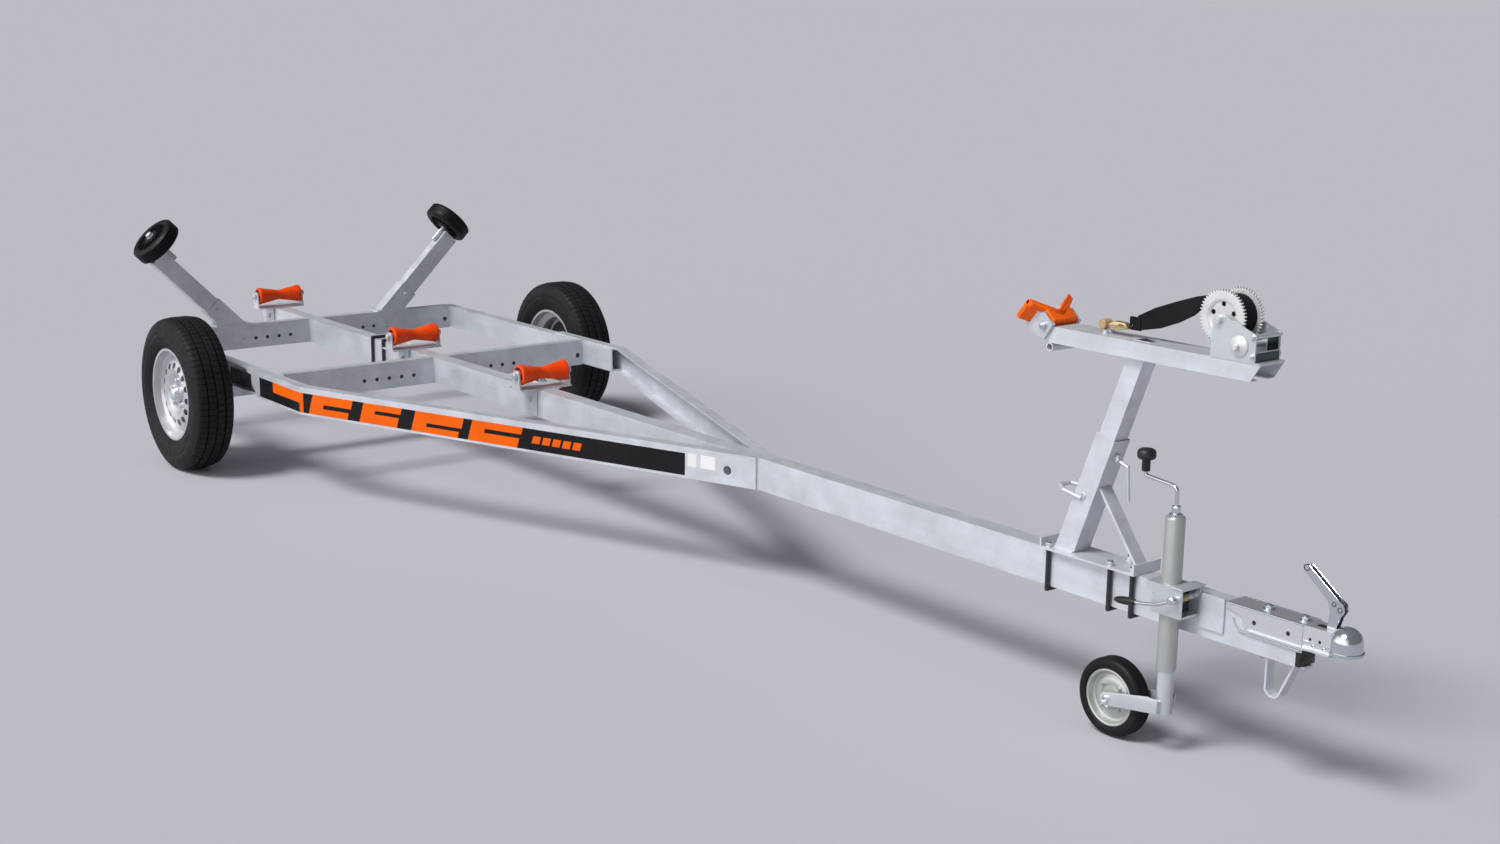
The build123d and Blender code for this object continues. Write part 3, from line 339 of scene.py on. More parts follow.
class Tree:
    """A node tree under construction."""

    def __init__(self, tree):
        self.nodes = tree.nodes
        self.links = tree.links

    def ramp(self, value, low, high, low_at=0.35, high_at=0.65):
        """Spreads a value between two colours or two greys."""
        node = self.nodes.new("ShaderNodeValToRGB")
        node.color_ramp.elements[0].position = low_at
        node.color_ramp.elements[1].position = high_at
        node.color_ramp.elements[0].color = (*low, 1.0)
        node.color_ramp.elements[1].color = (*high, 1.0)
        self.links.new(value, node.inputs["Fac"])
        return node.outputs["Color"]

    def mixed(self, kind, amount, first, second):
        node = self.nodes.new("ShaderNodeMix")
        node.data_type = "RGBA"
        node.blend_type = kind
        if isinstance(amount, float):
            node.inputs[0].default_value = amount
        else:
            self.links.new(amount, node.inputs[0])
        for socket, value in ((node.inputs[6], first), (node.inputs[7], second)):
            if isinstance(value, tuple):
                socket.default_value = (*value, 1.0)
            else:
                self.links.new(value, socket)
        return node.outputs[2]


class Finish(Tree):
    """A node material under construction: its shader and small ways to add detail."""

    def __init__(self, name, colour, metallic=0.0, roughness=0.5):
        self.material = bpy.data.materials.new(name)
        self.material.use_nodes = True
        super().__init__(self.material.node_tree)
        self.shader = self.nodes["Principled BSDF"]
        self.shader.inputs["Base Color"].default_value = (*colour, 1.0)
        self.shader.inputs["Metallic"].default_value = metallic
        self.shader.inputs["Roughness"].default_value = roughness
        self.place = self.nodes.new("ShaderNodeTexCoord").outputs["Object"]
        self.bump_from = None

    def mapped(self, scale, turn=(0.0, 0.0, 0.0), shift=(0.0, 0.0, 0.0)):
        node = self.nodes.new("ShaderNodeMapping")
        node.inputs["Scale"].default_value = scale
        node.inputs["Rotation"].default_value = turn
        node.inputs["Location"].default_value = shift
        self.links.new(self.place, node.inputs["Vector"])
        return node.outputs["Vector"]

    def noise(self, scale, detail=4.0, vector=None, roughness=0.55):
        node = self.nodes.new("ShaderNodeTexNoise")
        node.inputs["Scale"].default_value = scale
        node.inputs["Detail"].default_value = detail
        node.inputs["Roughness"].default_value = roughness
        self.links.new(vector or self.place, node.inputs["Vector"])
        return node.outputs["Fac"]

    def cells(self, scale, output="Color"):
        node = self.nodes.new("ShaderNodeTexVoronoi")
        node.inputs["Scale"].default_value = scale
        self.links.new(self.place, node.inputs["Vector"])
        return node.outputs[output]

    def bands(self, direction, scale):
        node = self.nodes.new("ShaderNodeTexWave")
        node.wave_type = "BANDS"
        node.bands_direction = direction
        node.inputs["Scale"].default_value = scale
        self.links.new(self.place, node.inputs["Vector"])
        return node.outputs["Color"]

    def grey(self, value, low, high, low_at=0.35, high_at=0.65):
        return self.ramp(value, (low,) * 3, (high,) * 3, low_at, high_at)

    def colour(self, value):
        self.links.new(value, self.shader.inputs["Base Color"])

    def rough(self, value):
        self.links.new(value, self.shader.inputs["Roughness"])

    def bump(self, value, strength, distance):
        node = self.nodes.new("ShaderNodeBump")
        node.inputs["Strength"].default_value = strength
        node.inputs["Distance"].default_value = distance
        self.links.new(value, node.inputs["Height"])
        if self.bump_from:
            self.links.new(self.bump_from, node.inputs["Normal"])
        self.bump_from = node.outputs["Normal"]
        self.links.new(self.bump_from, self.shader.inputs["Normal"])


def galvanised_steel(name, colour, spangle=70.0):
    """Dull hot-dip zinc: cloudy patches, faint crystals, runs and a slightly rough skin."""
    f = Finish(name, colour, 0.42, 0.42)
    dark = tuple(c * 0.88 for c in colour)
    light = tuple(min(1.0, c * 1.06) for c in colour)
    clouds = f.ramp(f.noise(7.0, 5.0), dark, light, 0.30, 0.66)
    crystals = f.grey(f.cells(spangle), 0.95, 1.0, 0.0, 1.0)
    streaks = f.grey(f.noise(26.0, 3.0, f.mapped((0.12, 1.0, 1.0))), 0.90, 1.0)
    f.colour(f.mixed("MULTIPLY", 1.0, f.mixed("MULTIPLY", 1.0, clouds, crystals), streaks))
    f.rough(f.grey(f.noise(22.0, 5.0), 0.34, 0.56))
    f.bump(f.noise(160.0, 3.0), 0.08, 0.0002)
    f.bump(f.noise(14.0, 2.0), 0.20, 0.0010)
    return f.material


def zinc_plate(name, colour, roughness=0.24, tint=(0.62, 0.70, 0.74), metallic=0.9):
    """Electroplated zinc under a thin tinted film, its skin very slightly uneven."""
    f = Finish(name, colour, metallic, roughness)
    film = f.ramp(f.noise(9.0, 3.0), tuple(c * 0.90 for c in colour), colour, 0.32, 0.66)
    f.colour(f.mixed("MIX", 0.18, film, tint))
    f.rough(f.grey(f.noise(20.0, 3.0), roughness * 0.90, roughness * 1.15))
    f.bump(f.noise(20.0, 1.0), 0.02, 0.0005)
    return f.material


def tyre_rubber(name, colour, roughness=0.62):
    """Black vulcanised rubber with a fine grain, bloom and dust in the hollows."""
    f = Finish(name, colour, 0.0, roughness)
    dusty = tuple(c * 1.4 + 0.003 for c in colour)
    f.colour(f.ramp(f.noise(11.0, 6.0), colour, dusty, 0.42, 0.78))
    f.rough(f.grey(f.noise(34.0, 4.0), roughness * 0.82, roughness * 1.12))
    f.bump(f.noise(520.0, 2.0), 0.22, 0.0003)
    f.shader.inputs["Specular IOR Level"].default_value = 0.18
    return f.material


def urethane(name, colour):
    """Smooth moulded polyurethane, glossy with shallow flow marks."""
    f = Finish(name, colour, 0.0, 0.30)
    deep = (colour[0] * 0.82, colour[1] * 0.70, colour[2] * 0.7)
    f.colour(f.ramp(f.noise(16.0, 4.0), deep, colour, 0.30, 0.62))
    f.rough(f.grey(f.noise(48.0, 4.0), 0.24, 0.42))
    f.bump(f.noise(60.0, 2.0), 0.08, 0.0006)
    f.shader.inputs["Specular IOR Level"].default_value = 0.25
    f.shader.inputs["Coat Weight"].default_value = 0.08
    f.shader.inputs["Coat Roughness"].default_value = 0.18
    return f.material


def silver_paint(name, colour):
    """Silver wheel paint: fine flake, thin lacquer and a little brake dust."""
    f = Finish(name, colour, 0.55, 0.34)
    flake = f.grey(f.cells(1400.0), 0.88, 1.0, 0.0, 1.0)
    dust = f.ramp(f.noise(8.0, 5.0), tuple(c * 0.86 for c in colour), colour, 0.35, 0.62)
    f.colour(f.mixed("MULTIPLY", 1.0, dust, flake))
    f.rough(f.grey(f.noise(30.0, 4.0), 0.28, 0.42))
    f.bump(f.noise(300.0, 2.0), 0.05, 0.0003)
    f.shader.inputs["Coat Weight"].default_value = 0.25
    f.shader.inputs["Coat Roughness"].default_value = 0.16
    return f.material


def black_coat(name, colour, roughness=0.34):
    """Black paint or moulded plastic with a fine orange-peel skin and rubbed edges."""
    f = Finish(name, colour, 0.0, roughness)
    rubbed = tuple(c * 2.6 + 0.01 for c in colour)
    f.colour(f.ramp(f.noise(60.0, 6.0), colour, rubbed, 0.55, 0.80))
    f.rough(f.grey(f.noise(70.0, 4.0), roughness * 0.8, roughness * 1.35))
    f.bump(f.noise(340.0, 2.0), 0.16, 0.0003)
    return f.material


def webbing(name, colour):
    """Tightly woven polyester webbing: ribs across the strap, yarns along it."""
    f = Finish(name, colour, 0.0, 0.80)
    weave = f.mixed("MULTIPLY", 0.6, f.bands("X", 100.0), f.bands("Y", 140.0))
    f.colour(f.mixed("MIX", f.noise(30.0, 3.0), colour, tuple(c * 1.6 + 0.003 for c in colour)))
    f.bump(weave, 0.45, 0.0005)
    f.shader.inputs["Specular IOR Level"].default_value = 0.2
    return f.material


def vinyl(name, colour, roughness=0.26):
    """Printed self-adhesive film: nearly even colour, faint ripples over the steel."""
    f = Finish(name, colour, 0.0, roughness)
    f.colour(f.ramp(f.noise(7.0, 4.0), tuple(c * 0.88 for c in colour), colour, 0.30, 0.60))
    f.rough(f.grey(f.noise(24.0, 4.0), roughness * 0.85, roughness * 1.3))
    f.bump(f.noise(18.0, 2.0), 0.06, 0.0008)
    f.shader.inputs["Specular IOR Level"].default_value = 0.12
    return f.material


FINISHES = {}


def make_finishes(sizes):
    """Every material of the trailer, once."""
    FINISHES.update(
        galvanised=galvanised_steel("galvanised steel", tuple(sizes.galvanised)),
        zinc=zinc_plate("bright zinc", tuple(sizes.zinc), 0.30, metallic=0.6),
        chrome=zinc_plate("polished zinc", (0.62, 0.65, 0.68), 0.16),
        satin=zinc_plate("satin zinc", (0.48, 0.50, 0.48), 0.34, (0.48, 0.52, 0.48), 0.60),
        # dark zinc for painted shade: sheets of it lie where the insides of the winch frame, the jockey clamp
        # and the coupling lever are in shade
        dark_zinc=zinc_plate("zinc shade paint", (0.060, 0.085, 0.085), 0.22, (0.04, 0.08, 0.08)),
        brass=zinc_plate("yellow zinc", (0.62, 0.50, 0.27), 0.30, (0.66, 0.50, 0.24)),
        gear=galvanised_steel("pale gear plating", (0.78, 0.79, 0.79), 160.0),
        rubber=tyre_rubber("road tyre rubber", tuple(sizes.rubber)),
        solid_rubber=tyre_rubber("solid wheel rubber", (0.007, 0.007, 0.008), 0.50),
        roller=urethane("orange polyurethane", tuple(sizes.roller)),
        stop=urethane("orange bow stop", tuple(sizes.stop)),
        paint=silver_paint("silver wheel paint", (0.66, 0.665, 0.68)),
        # black paint also serves the dark rounds and drum of painted shade over holes, in the post and at the
        # rims' vents; black plastic serves the painted shade in the rollers' ends and the coupling's holes
        black=black_coat("black paint", (0.018, 0.018, 0.020)),
        plastic=black_coat("black plastic", (0.010, 0.010, 0.011), 0.46),
        web=webbing("winch webbing", (0.003, 0.003, 0.004)),
        band=vinyl("black film", (0.012, 0.012, 0.014)),
        mark=vinyl("orange film", tuple(sizes.film), 0.34),
        tan=urethane("tan nylon", (0.50, 0.33, 0.19)),
        label=vinyl("white label", (0.80, 0.80, 0.80), 0.40),
    )


# ---------------------------------------------------------------- sizes and colours

def shade(name, description, value):
    return FloatVectorProperty(name=name, description=description, subtype="COLOR", size=3,
                               min=0.0, max=1.0, default=value)


class TrailerFinishes(bpy.types.PropertyGroup):
    """The colours that a user would change."""

    galvanised: shade("Galvanised steel", "Frame, winch stand and side supports", (0.69, 0.715, 0.76))
    zinc: shade("Bright zinc", "Jockey wheel, coupling and winch", (0.66, 0.69, 0.71))
    rubber: shade("Road tyres", "Tread and sidewalls", (0.011, 0.011, 0.013))
    roller: shade("Keel rollers", "Polyurethane of the three keel rollers", (0.96, 0.075, 0.001))
    stop: shade("Bow stop", "Polyurethane of the bow stop", (1.0, 0.145, 0.001))
    film: shade("Orange film", "Stripes along the sides", (0.86, 0.125, 0.002))
    floor: shade("Floor", "Studio floor and background", (0.509, 0.503, 0.546))


class TrailerSizes(bpy.types.PropertyGroup):
    """The sizes of what the scene adds to the frame."""

    tread_depth: FloatProperty(name="Tread depth", description="Depth of the road tyres' grooves",
                               default=0.007, unit="LENGTH")
    tread_blocks: IntProperty(name="Tread blocks", description="Blocks in one ring of the tread",
                              default=76, min=24, max=120)
    gear_teeth: IntProperty(name="Gear teeth", description="Teeth of each winch gear", default=49)
    pinion_teeth: IntProperty(name="Pinion teeth", description="Teeth of the winch pinion", default=14)
    weld_radius: FloatProperty(name="Weld bead", description="Radius of a weld bead",
                               default=0.0032, unit="LENGTH")


# ---------------------------------------------------------------- frame

class TRAILER_OT_finishes(bpy.types.Operator):
    """Makes every material of the trailer"""

    bl_idname = "trailer.finishes"
    bl_label = "Finishes"

    def execute(self, context):
        make_finishes(context.scene.trailer_finishes)
        return {"FINISHED"}


class TRAILER_OT_steelwork(bpy.types.Operator):
    """Gives the frame's own parts their finishes"""

    bl_idname = "trailer.steelwork"
    bl_label = "Steelwork"

    def execute(self, context):
        dress("galvanised", *STOCK)
        dress("zinc", *BRIGHT)
        dress("chrome", "coupling_head", "coupling_handle", "jockey_rim")
        dress("black", "u_bolts")
        dress("plastic", "crank_knob", "clamp_grip", "beam_plug")
        dress("rubber", "tyre_left", "tyre_right")
        dress("solid_rubber", "jockey_tyre", "support_wheel_left", "support_wheel_right")
        dress("paint", "rim_left", "rim_right")
        dress("roller", *("keel_roller_" + spot for spot in ROLLER_SPOTS))
        dress("stop", "bow_stop")
        dress("brass", "strap_hook")
        dress("gear", "winch_drum", "winch_pinion")
        dress("web", "winch_strap", "wound_strap")
        return {"FINISHED"}


# ---------------------------------------------------------------- small standard parts

WELD_STEP = 0.004     # from one laid drop to the next


def hex_nut(name, radius, height, washer=True):
    """A nut with chamfered corners and a domed thread end, on a washer, modelled along +Z."""
    r = radius
    parts = [
        hexagon("body", r, height, (0, 0, height / 2 + 0.001), r * 0.12),
        spun("end", [(0.0, height + 0.0035), (r * 0.45, height + 0.0035), (r * 0.55, height + 0.0025),
                     (r * 0.55, height), (0.0, height)], (0, 0, 0), UP, 16, False),
    ]
    if washer:
        parts.append(spun("washer", [(r * 0.5, 0.0), (r * 1.25, 0.0), (r * 1.25, 0.0012), (r * 0.5, 0.0016)],
                          (0, 0, 0), UP, 24))
    return joined(name, parts)


def nuts(radius, height, spots, washer=True):
    """Copies of one nut or bolt head, each at its place and facing its way."""
    master = hex_nut("nut", radius, height, washer)
    parts = [placed(master, "nut", place, way) for place, way in spots]
    dropped(master)
    return parts


def round_about(middle, radius, angles):
    """Places on an upright circle, in degrees from the way ahead."""
    return [
        Vector(middle) + Vector((radius * cos(a), 0, radius * sin(a)))
        for a in map(radians, angles)
    ]


def weld_bead(start, end, radius):
    """A weld along a seam: a bar whose thickness comes and goes like laid drops."""
    start, end = Vector(start), Vector(end)
    count = max(3, int((end - start).length / WELD_STEP))
    drops = [start.lerp(end, k / count) for k in range(count + 1)]
    return swept("bead", "POLY", drops, radius, 1, 60, 0.82)


# ---------------------------------------------------------------- road wheels

GROOVE_HALF = 0.0035       # half a circumferential groove
RIB_EDGE = 0.0290          # outer edge of a middle rib
WHEEL_BOLTS = 5
BOLT_CIRCLE = 0.049
BOLT_R = 0.0098
DISC_DEPTH = 0.034         # from the rim's outer edge in to the face that the bolts sit on


def about_axle(angle):
    """A turn about the road wheels' axis line."""
    centre = Matrix.Translation(Vector((AXLE_X, 0, AXLE_Z)))
    return centre @ Matrix.Rotation(angle, 4, "Y") @ centre.inverted()


class TRAILER_OT_tyres(bpy.types.Operator):
    """Models the two road tyres with ribs, grooves, cut shoulders and sidewall rings"""

    bl_idname = "trailer.tyres"
    bl_label = "Road tyres"

    def execute(self, context):
        sizes = context.scene.trailer_sizes
        pitch = 2 * pi / sizes.tread_blocks
        masters = [
            self.rib_block(sizes, pitch, 1),
            self.rib_block(sizes, pitch, -1),
            self.shoulder_block(sizes, pitch, 1),
            self.shoulder_block(sizes, pitch, -1),
        ]
        blocks = []
        for k in range(sizes.tread_blocks):
            for j, master in enumerate(masters):
                offset = 0.5 if j in (1, 3) else 0.0
                blocks.append(copied(master, "block", about_axle((k + offset) * pitch)))
        dropped(*masters)
        tyre = smooth(joined("road_tyre_left", [self.carcass(sizes)] + blocks), 40)
        wear_pair(tyre, "rubber", "wheel", "road_tyre", "tyre")
        return {"FINISHED"}

    def crown(self, along):
        """Height of the tread above the axis, a little lower towards the shoulders."""
        return TYRE_R - 1.5 * along * along

    def carcass(self, sizes):
        """The closed casing: bead, sidewall rings, shoulder and the floor of the grooves."""
        base = sizes.tread_depth
        side = [
            (0.1695, 0.0520), (0.1690, 0.0600), (0.1760, 0.0655), (0.1835, 0.0668), (0.1850, 0.0690),
            (0.1900, 0.0712), (0.1915, 0.0704), (0.1930, 0.0718), (0.2100, 0.0762), (0.2112, 0.0753),
            (0.2130, 0.0766), (0.2300, 0.0783), (0.2315, 0.0774), (0.2330, 0.0784), (0.2480, 0.0772),
            (0.2620, 0.0735), (0.2720, 0.0690), (self.crown(0.0600) - base - 0.002, 0.0630),
            (self.crown(0.0300) - base, 0.0300), (self.crown(0.0) - base, 0.0020),
        ]
        outer = doubled(side)
        inner = [(0.1780, -0.0520), (0.2300, -0.0680), (0.2620, -0.0600), (0.2700, 0.0),
                 (0.2620, 0.0600), (0.2300, 0.0680), (0.1780, 0.0520)]
        casing = spun("casing", outer + inner, (AXLE_X, TYRE_MIDDLE, AXLE_Z), ACROSS, 96)
        return smooth(casing, 50)

    def rib_block(self, sizes, pitch, side):
        """One block of a middle rib, its ends in a shallow zigzag that the next one follows."""
        half = self.crown(0) * pitch / 2 - 0.0008
        inside, outside = GROOVE_HALF, RIB_EDGE
        step = (outside - inside) / 3
        front = [(half, inside), (half + 0.004, inside + step),
                 (half, inside + 2 * step), (half + 0.004, outside)]
        back = [(x - 2 * half, y) for x, y in reversed(front)]
        top = self.crown((inside + outside) / 2)
        low = top - sizes.tread_depth - 0.002
        outline = [(AXLE_X + x - 0.002, TYRE_MIDDLE + side * y, AXLE_Z + low) for x, y in front + back]
        return plate("rib block", outline, top - low, "z", 0.0008, 1)

    def shoulder_block(self, sizes, pitch, side):
        """One block of a shoulder, running over the edge and a little way down the sidewall."""
        half = self.crown(0) * pitch / 2 - 0.0009
        start = RIB_EDGE + 2 * GROOVE_HALF
        section = [
            (start, self.crown(start)), (0.0520, self.crown(0.0520)), (0.0615, 0.2815), (0.0672, 0.2770),
            (0.0702, 0.2710), (0.0690, 0.2700), (0.0620, 0.2740),
            (start, self.crown(start) - sizes.tread_depth - 0.002),
        ]
        outline = [(AXLE_X - half, TYRE_MIDDLE + side * y, AXLE_Z + z) for y, z in section]
        return plate("shoulder block", outline, 2 * half, "x", 0.0008, 1)


class TRAILER_OT_wheels(bpy.types.Operator):
    """Models the wheel bolts, hub caps, valves and balance weights"""

    bl_idname = "trailer.wheels"
    bl_label = "Wheel fittings"

    def execute(self, context):
        face = RIM_OUT - DISC_DEPTH
        bolt = self.wheel_bolt()
        parts = []
        for k in range(WHEEL_BOLTS):
            a = 2 * pi * k / WHEEL_BOLTS
            spot = (AXLE_X + BOLT_CIRCLE * sin(a), face, AXLE_Z + BOLT_CIRCLE * cos(a))
            parts.append(placed(bolt, "wheel bolt", spot, ACROSS))
        dropped(bolt)
        fittings = smooth(joined("wheel_bolts_left", parts))
        cap, valve, weight = self.hub_cap(face), self.valve(), self.balance_weight()
        for piece, finish, slot in (
            (fittings, "zinc", "zinc"), (cap, "zinc", "zinc"),
            (valve, "plastic", "black_rubber"), (weight, "zinc", "zinc"),
        ):
            wear_pair(piece, finish, "wheel", slot)
        return {"FINISHED"}

    def wheel_bolt(self):
        """A hexagon head on a cone seat, with a chamfered crown."""
        seat = spun("seat", [(0.0, -0.003), (0.0115, 0.0), (0.0098, 0.004), (0.0, 0.004)],
                    (0, 0, 0), UP, 24, False)
        return joined("wheel bolt", [seat, hexagon("head", BOLT_R, 0.011, (0, 0, 0.0085), 0.0014)])

    def hub_cap(self, face):
        """The domed dust cap in the middle of the wheel, with a rolled edge."""
        profile = [(0.0, 0.0195), (0.012, 0.0190), (0.0205, 0.0165), (0.0245, 0.0120), (0.0262, 0.0030),
                   (0.0290, 0.0020), (0.0290, -0.0020), (0.0, -0.0020)]
        cap = spun("hub_cap_left", profile, (AXLE_X, face + 0.012, AXLE_Z), ACROSS, 40, False)
        return smooth(cap, 40)

    def valve(self):
        """A rubber valve stem that leans out of the rim."""
        foot = Vector((AXLE_X + 0.134, RIM_OUT - DISC_DEPTH, AXLE_Z - 0.056))
        tip = Vector((AXLE_X + 0.122, RIM_OUT - 0.004, AXLE_Z - 0.051))
        stem = rod("valve_left", [foot, (foot + tip) / 2, tip], 0.0042)
        cap = rod("valve cap", [tip - (tip - foot) * 0.25, tip], 0.0052)
        return joined("valve_left", [stem, cap])

    def balance_weight(self):
        """A clip-on weight that follows the rim's flange."""
        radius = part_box("rim_left")[1][2] - AXLE_Z - 0.010
        points = [
            (AXLE_X + radius * sin(a), RIM_OUT + 0.0005, AXLE_Z + radius * cos(a))
            for a in (radians(150 + 4 * k) for k in range(4))
        ]
        return rod("balance_weight_left", points, 0.0036)


# ---------------------------------------------------------------- keel rollers and side supports

ROLLER_HALF = half_of("keel_roller_rear", 1)
ROLLER_END_R = half_of("keel_roller_rear", 2)
ROLLER_WAIST_R = 0.0215
ROLLER_BORE = 0.0085
EAR_OUT = ROLLER_HALF + 0.009
CHEEK_THICK = 0.0043
SUPPORT_R = half_of("support_wheel_left", 0)
SUPPORT_HALF = 0.031
SUPPORT_SPOKES = 14
SUPPORT_LEAN = radians(45)
SUPPORT_BOLT = (-0.0128, 0.4333, 0.4793)     # from the sleeve's front; across; above the ground


class TRAILER_OT_keel_rollers(bpy.types.Operator):
    """Models the three keel rollers, hollow at their ends, and their pins' nuts"""

    bl_idname = "trailer.keel_rollers"
    bl_label = "Keel rollers"

    def execute(self, context):
        middles = {where: Vector(middle_of("keel_roller_" + where)) for where in ROLLER_SPOTS}
        for where, centre in middles.items():
            node = "keel_roller_" + where
            roller = self.roller("orange_roller_" + where, centre)
            wear(roller, "roller", node, "orange_roller", node)
        cheek = BEAM_SIDE + CHEEK_THICK
        fittings = nuts(0.0135, 0.010, [
            (c + Vector((0, s * EAR_OUT, 0)), (0, s, 0)) for c in middles.values() for s in SIDES
        ])
        fittings += nuts(0.0100, 0.007, [
            ((c.x - 0.024, s * cheek, BEAM_LOW + 0.060), (0, s, 0)) for c in middles.values() for s in SIDES
        ])
        finished("keel_nuts", fittings, 35, "zinc", "chassis", "zinc")
        return {"FINISHED"}

    def roller(self, name, centre):
        """Two cones that meet at a short waist, each with a rim round its hollow end."""
        half, end, waist = ROLLER_HALF, ROLLER_END_R, ROLLER_WAIST_R
        side = [
            (waist, 0.0), (waist, 0.009), (waist + 0.0008, 0.0115), (end - 0.0022, half - 0.016),
            (end - 0.0003, half - 0.011), (end, half - 0.007), (end - 0.0012, half - 0.0022),
            (end - 0.0045, half), (end - 0.0085, half), (end - 0.0100, half - 0.0022),
            (end - 0.0110, half - 0.022), (0.0165, half - 0.024), (0.0160, half - 0.003),
            (0.0145, half - 0.0008), (ROLLER_BORE, half - 0.0008),
        ]
        return smooth(spun(name, doubled(side, 1), centre, ACROSS, 64), 38)


class TRAILER_OT_side_supports(bpy.types.Operator):
    """Models the two ribbed side wheels and the fastenings of their arms"""

    bl_idname = "trailer.side_supports"
    bl_label = "Side supports"

    def execute(self, context):
        centre = Vector(middle_of("support_wheel_left"))
        lean = Vector((0, sin(SUPPORT_LEAN), cos(SUPPORT_LEAN)))
        master = self.wheel()
        left = placed(master, "side_wheel_left", centre, lean)
        dropped(master)
        smooth(left, 35)
        wear_pair(left, "solid_rubber", "support_wheel", "black_rubber", "support_wheel")
        self.fastenings(centre, lean)
        return {"FINISHED"}

    def wheel(self):
        """A wheel along +Z: four tread ribs, a raised sidewall ring and moulded spokes."""
        half, r = SUPPORT_HALF, SUPPORT_R
        groove = 0.0032
        ribs = [(r, 0.0)]
        for a in (0.0055, 0.0165):
            ribs += [(r, a - 0.0014), (r - groove, a - 0.0006), (r - groove, a + 0.0006), (r, a + 0.0014)]
        side = ribs + [
            (r - 0.0010, 0.0225), (r - 0.0055, half - 0.0045), (r - 0.0130, half - 0.0008), (0.0850, half),
            (0.0835, half - 0.0012), (0.0720, half - 0.0012), (0.0700, half - 0.0030),
            (0.0685, half - 0.0115), (0.0330, half - 0.0115), (0.0315, half - 0.0010), (0.0290, half),
            (0.0081, half),
        ]
        parts = [spun("body", doubled(side, 1), (0, 0, 0), UP, 72)]
        spoke = brick("spoke", (0.030, -0.0018, half - 0.0125), (0.0705, 0.0018, half - 0.0042), 0.0006, 1)
        for k in range(SUPPORT_SPOKES):
            turn = Matrix.Rotation(2 * pi * k / SUPPORT_SPOKES, 4, "Z")
            parts.append(copied(spoke, "spoke", turn))
            parts.append(copied(spoke, "spoke", Matrix.Rotation(pi, 4, "X") @ turn))
        dropped(spoke)
        return joined("side wheel", parts)

    def fastenings(self, centre, lean):
        """The axle's washer and nut, and the bolt that holds each arm in its sleeve."""
        end = centre + lean * (SUPPORT_HALF + 0.0015)
        spot = Vector((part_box("support_sleeve_left")[1][0], 0, 0)) + Vector(SUPPORT_BOLT)
        mirrors = [Vector((1, s, 1)) for s in SIDES]
        parts = nuts(0.0135, 0.011, [(end * m, lean * m) for m in mirrors])
        parts += nuts(0.0105, 0.008, [(spot * m, AHEAD) for m in mirrors])
        finished("support_nuts", parts, 35, "zinc", "chassis", "zinc")


# ---------------------------------------------------------------- film on the side rails

RAIL_BEND = (0.685, -0.700)     # outer corner of the right rail's bend, from the axis line
RAIL_NOSE = (2.453, -0.036)
FILM_LOW = BEAM_LOW + 0.0085
FILM_TOP = BEAM_TOP - 0.0205
FILM_START = 0.350              # along the straight part, from the axis line
FILM_END = 1.6315               # along the slanted part, from the bend
FILM_THICK = 0.0003
# the rear piece is a black sheet on the rail's outer side between the tyre and the bend, laid in the film's
# black
REAR_BLACK_SHEET = (0.262, 0.074)      # start and end of the piece behind the long one, from its start
REAR_BLACK_SHEET_LIFT = 0.012
BEND_MARK, BEND_MARK_LOW = 0.116, 0.034     # the orange behind the bend: its start and lower edge
STRIPE_LEAN = 0.022
DASH_LONG, DASH_LOW, DASH_TOP, DASH_LEAN = 0.031, 0.0235, 0.0485, 0.008
# start and end along the slanted part, then the share of the height where the dark slit lies
STRIPES = (
    (0.0430, 0.2550, 0.34, 0.55),
    (0.2805, 0.4810, 0.50, 0.68),
    (0.5155, 0.7490, 0.30, 0.48),
    (0.7632, 1.0013, 0.46, 0.66),
)
DASHES = (1.0321, 1.0730, 1.1140, 1.1550, 1.1960)
LABELS = ((1.6423, 1.6748), (1.6897, 1.7440))


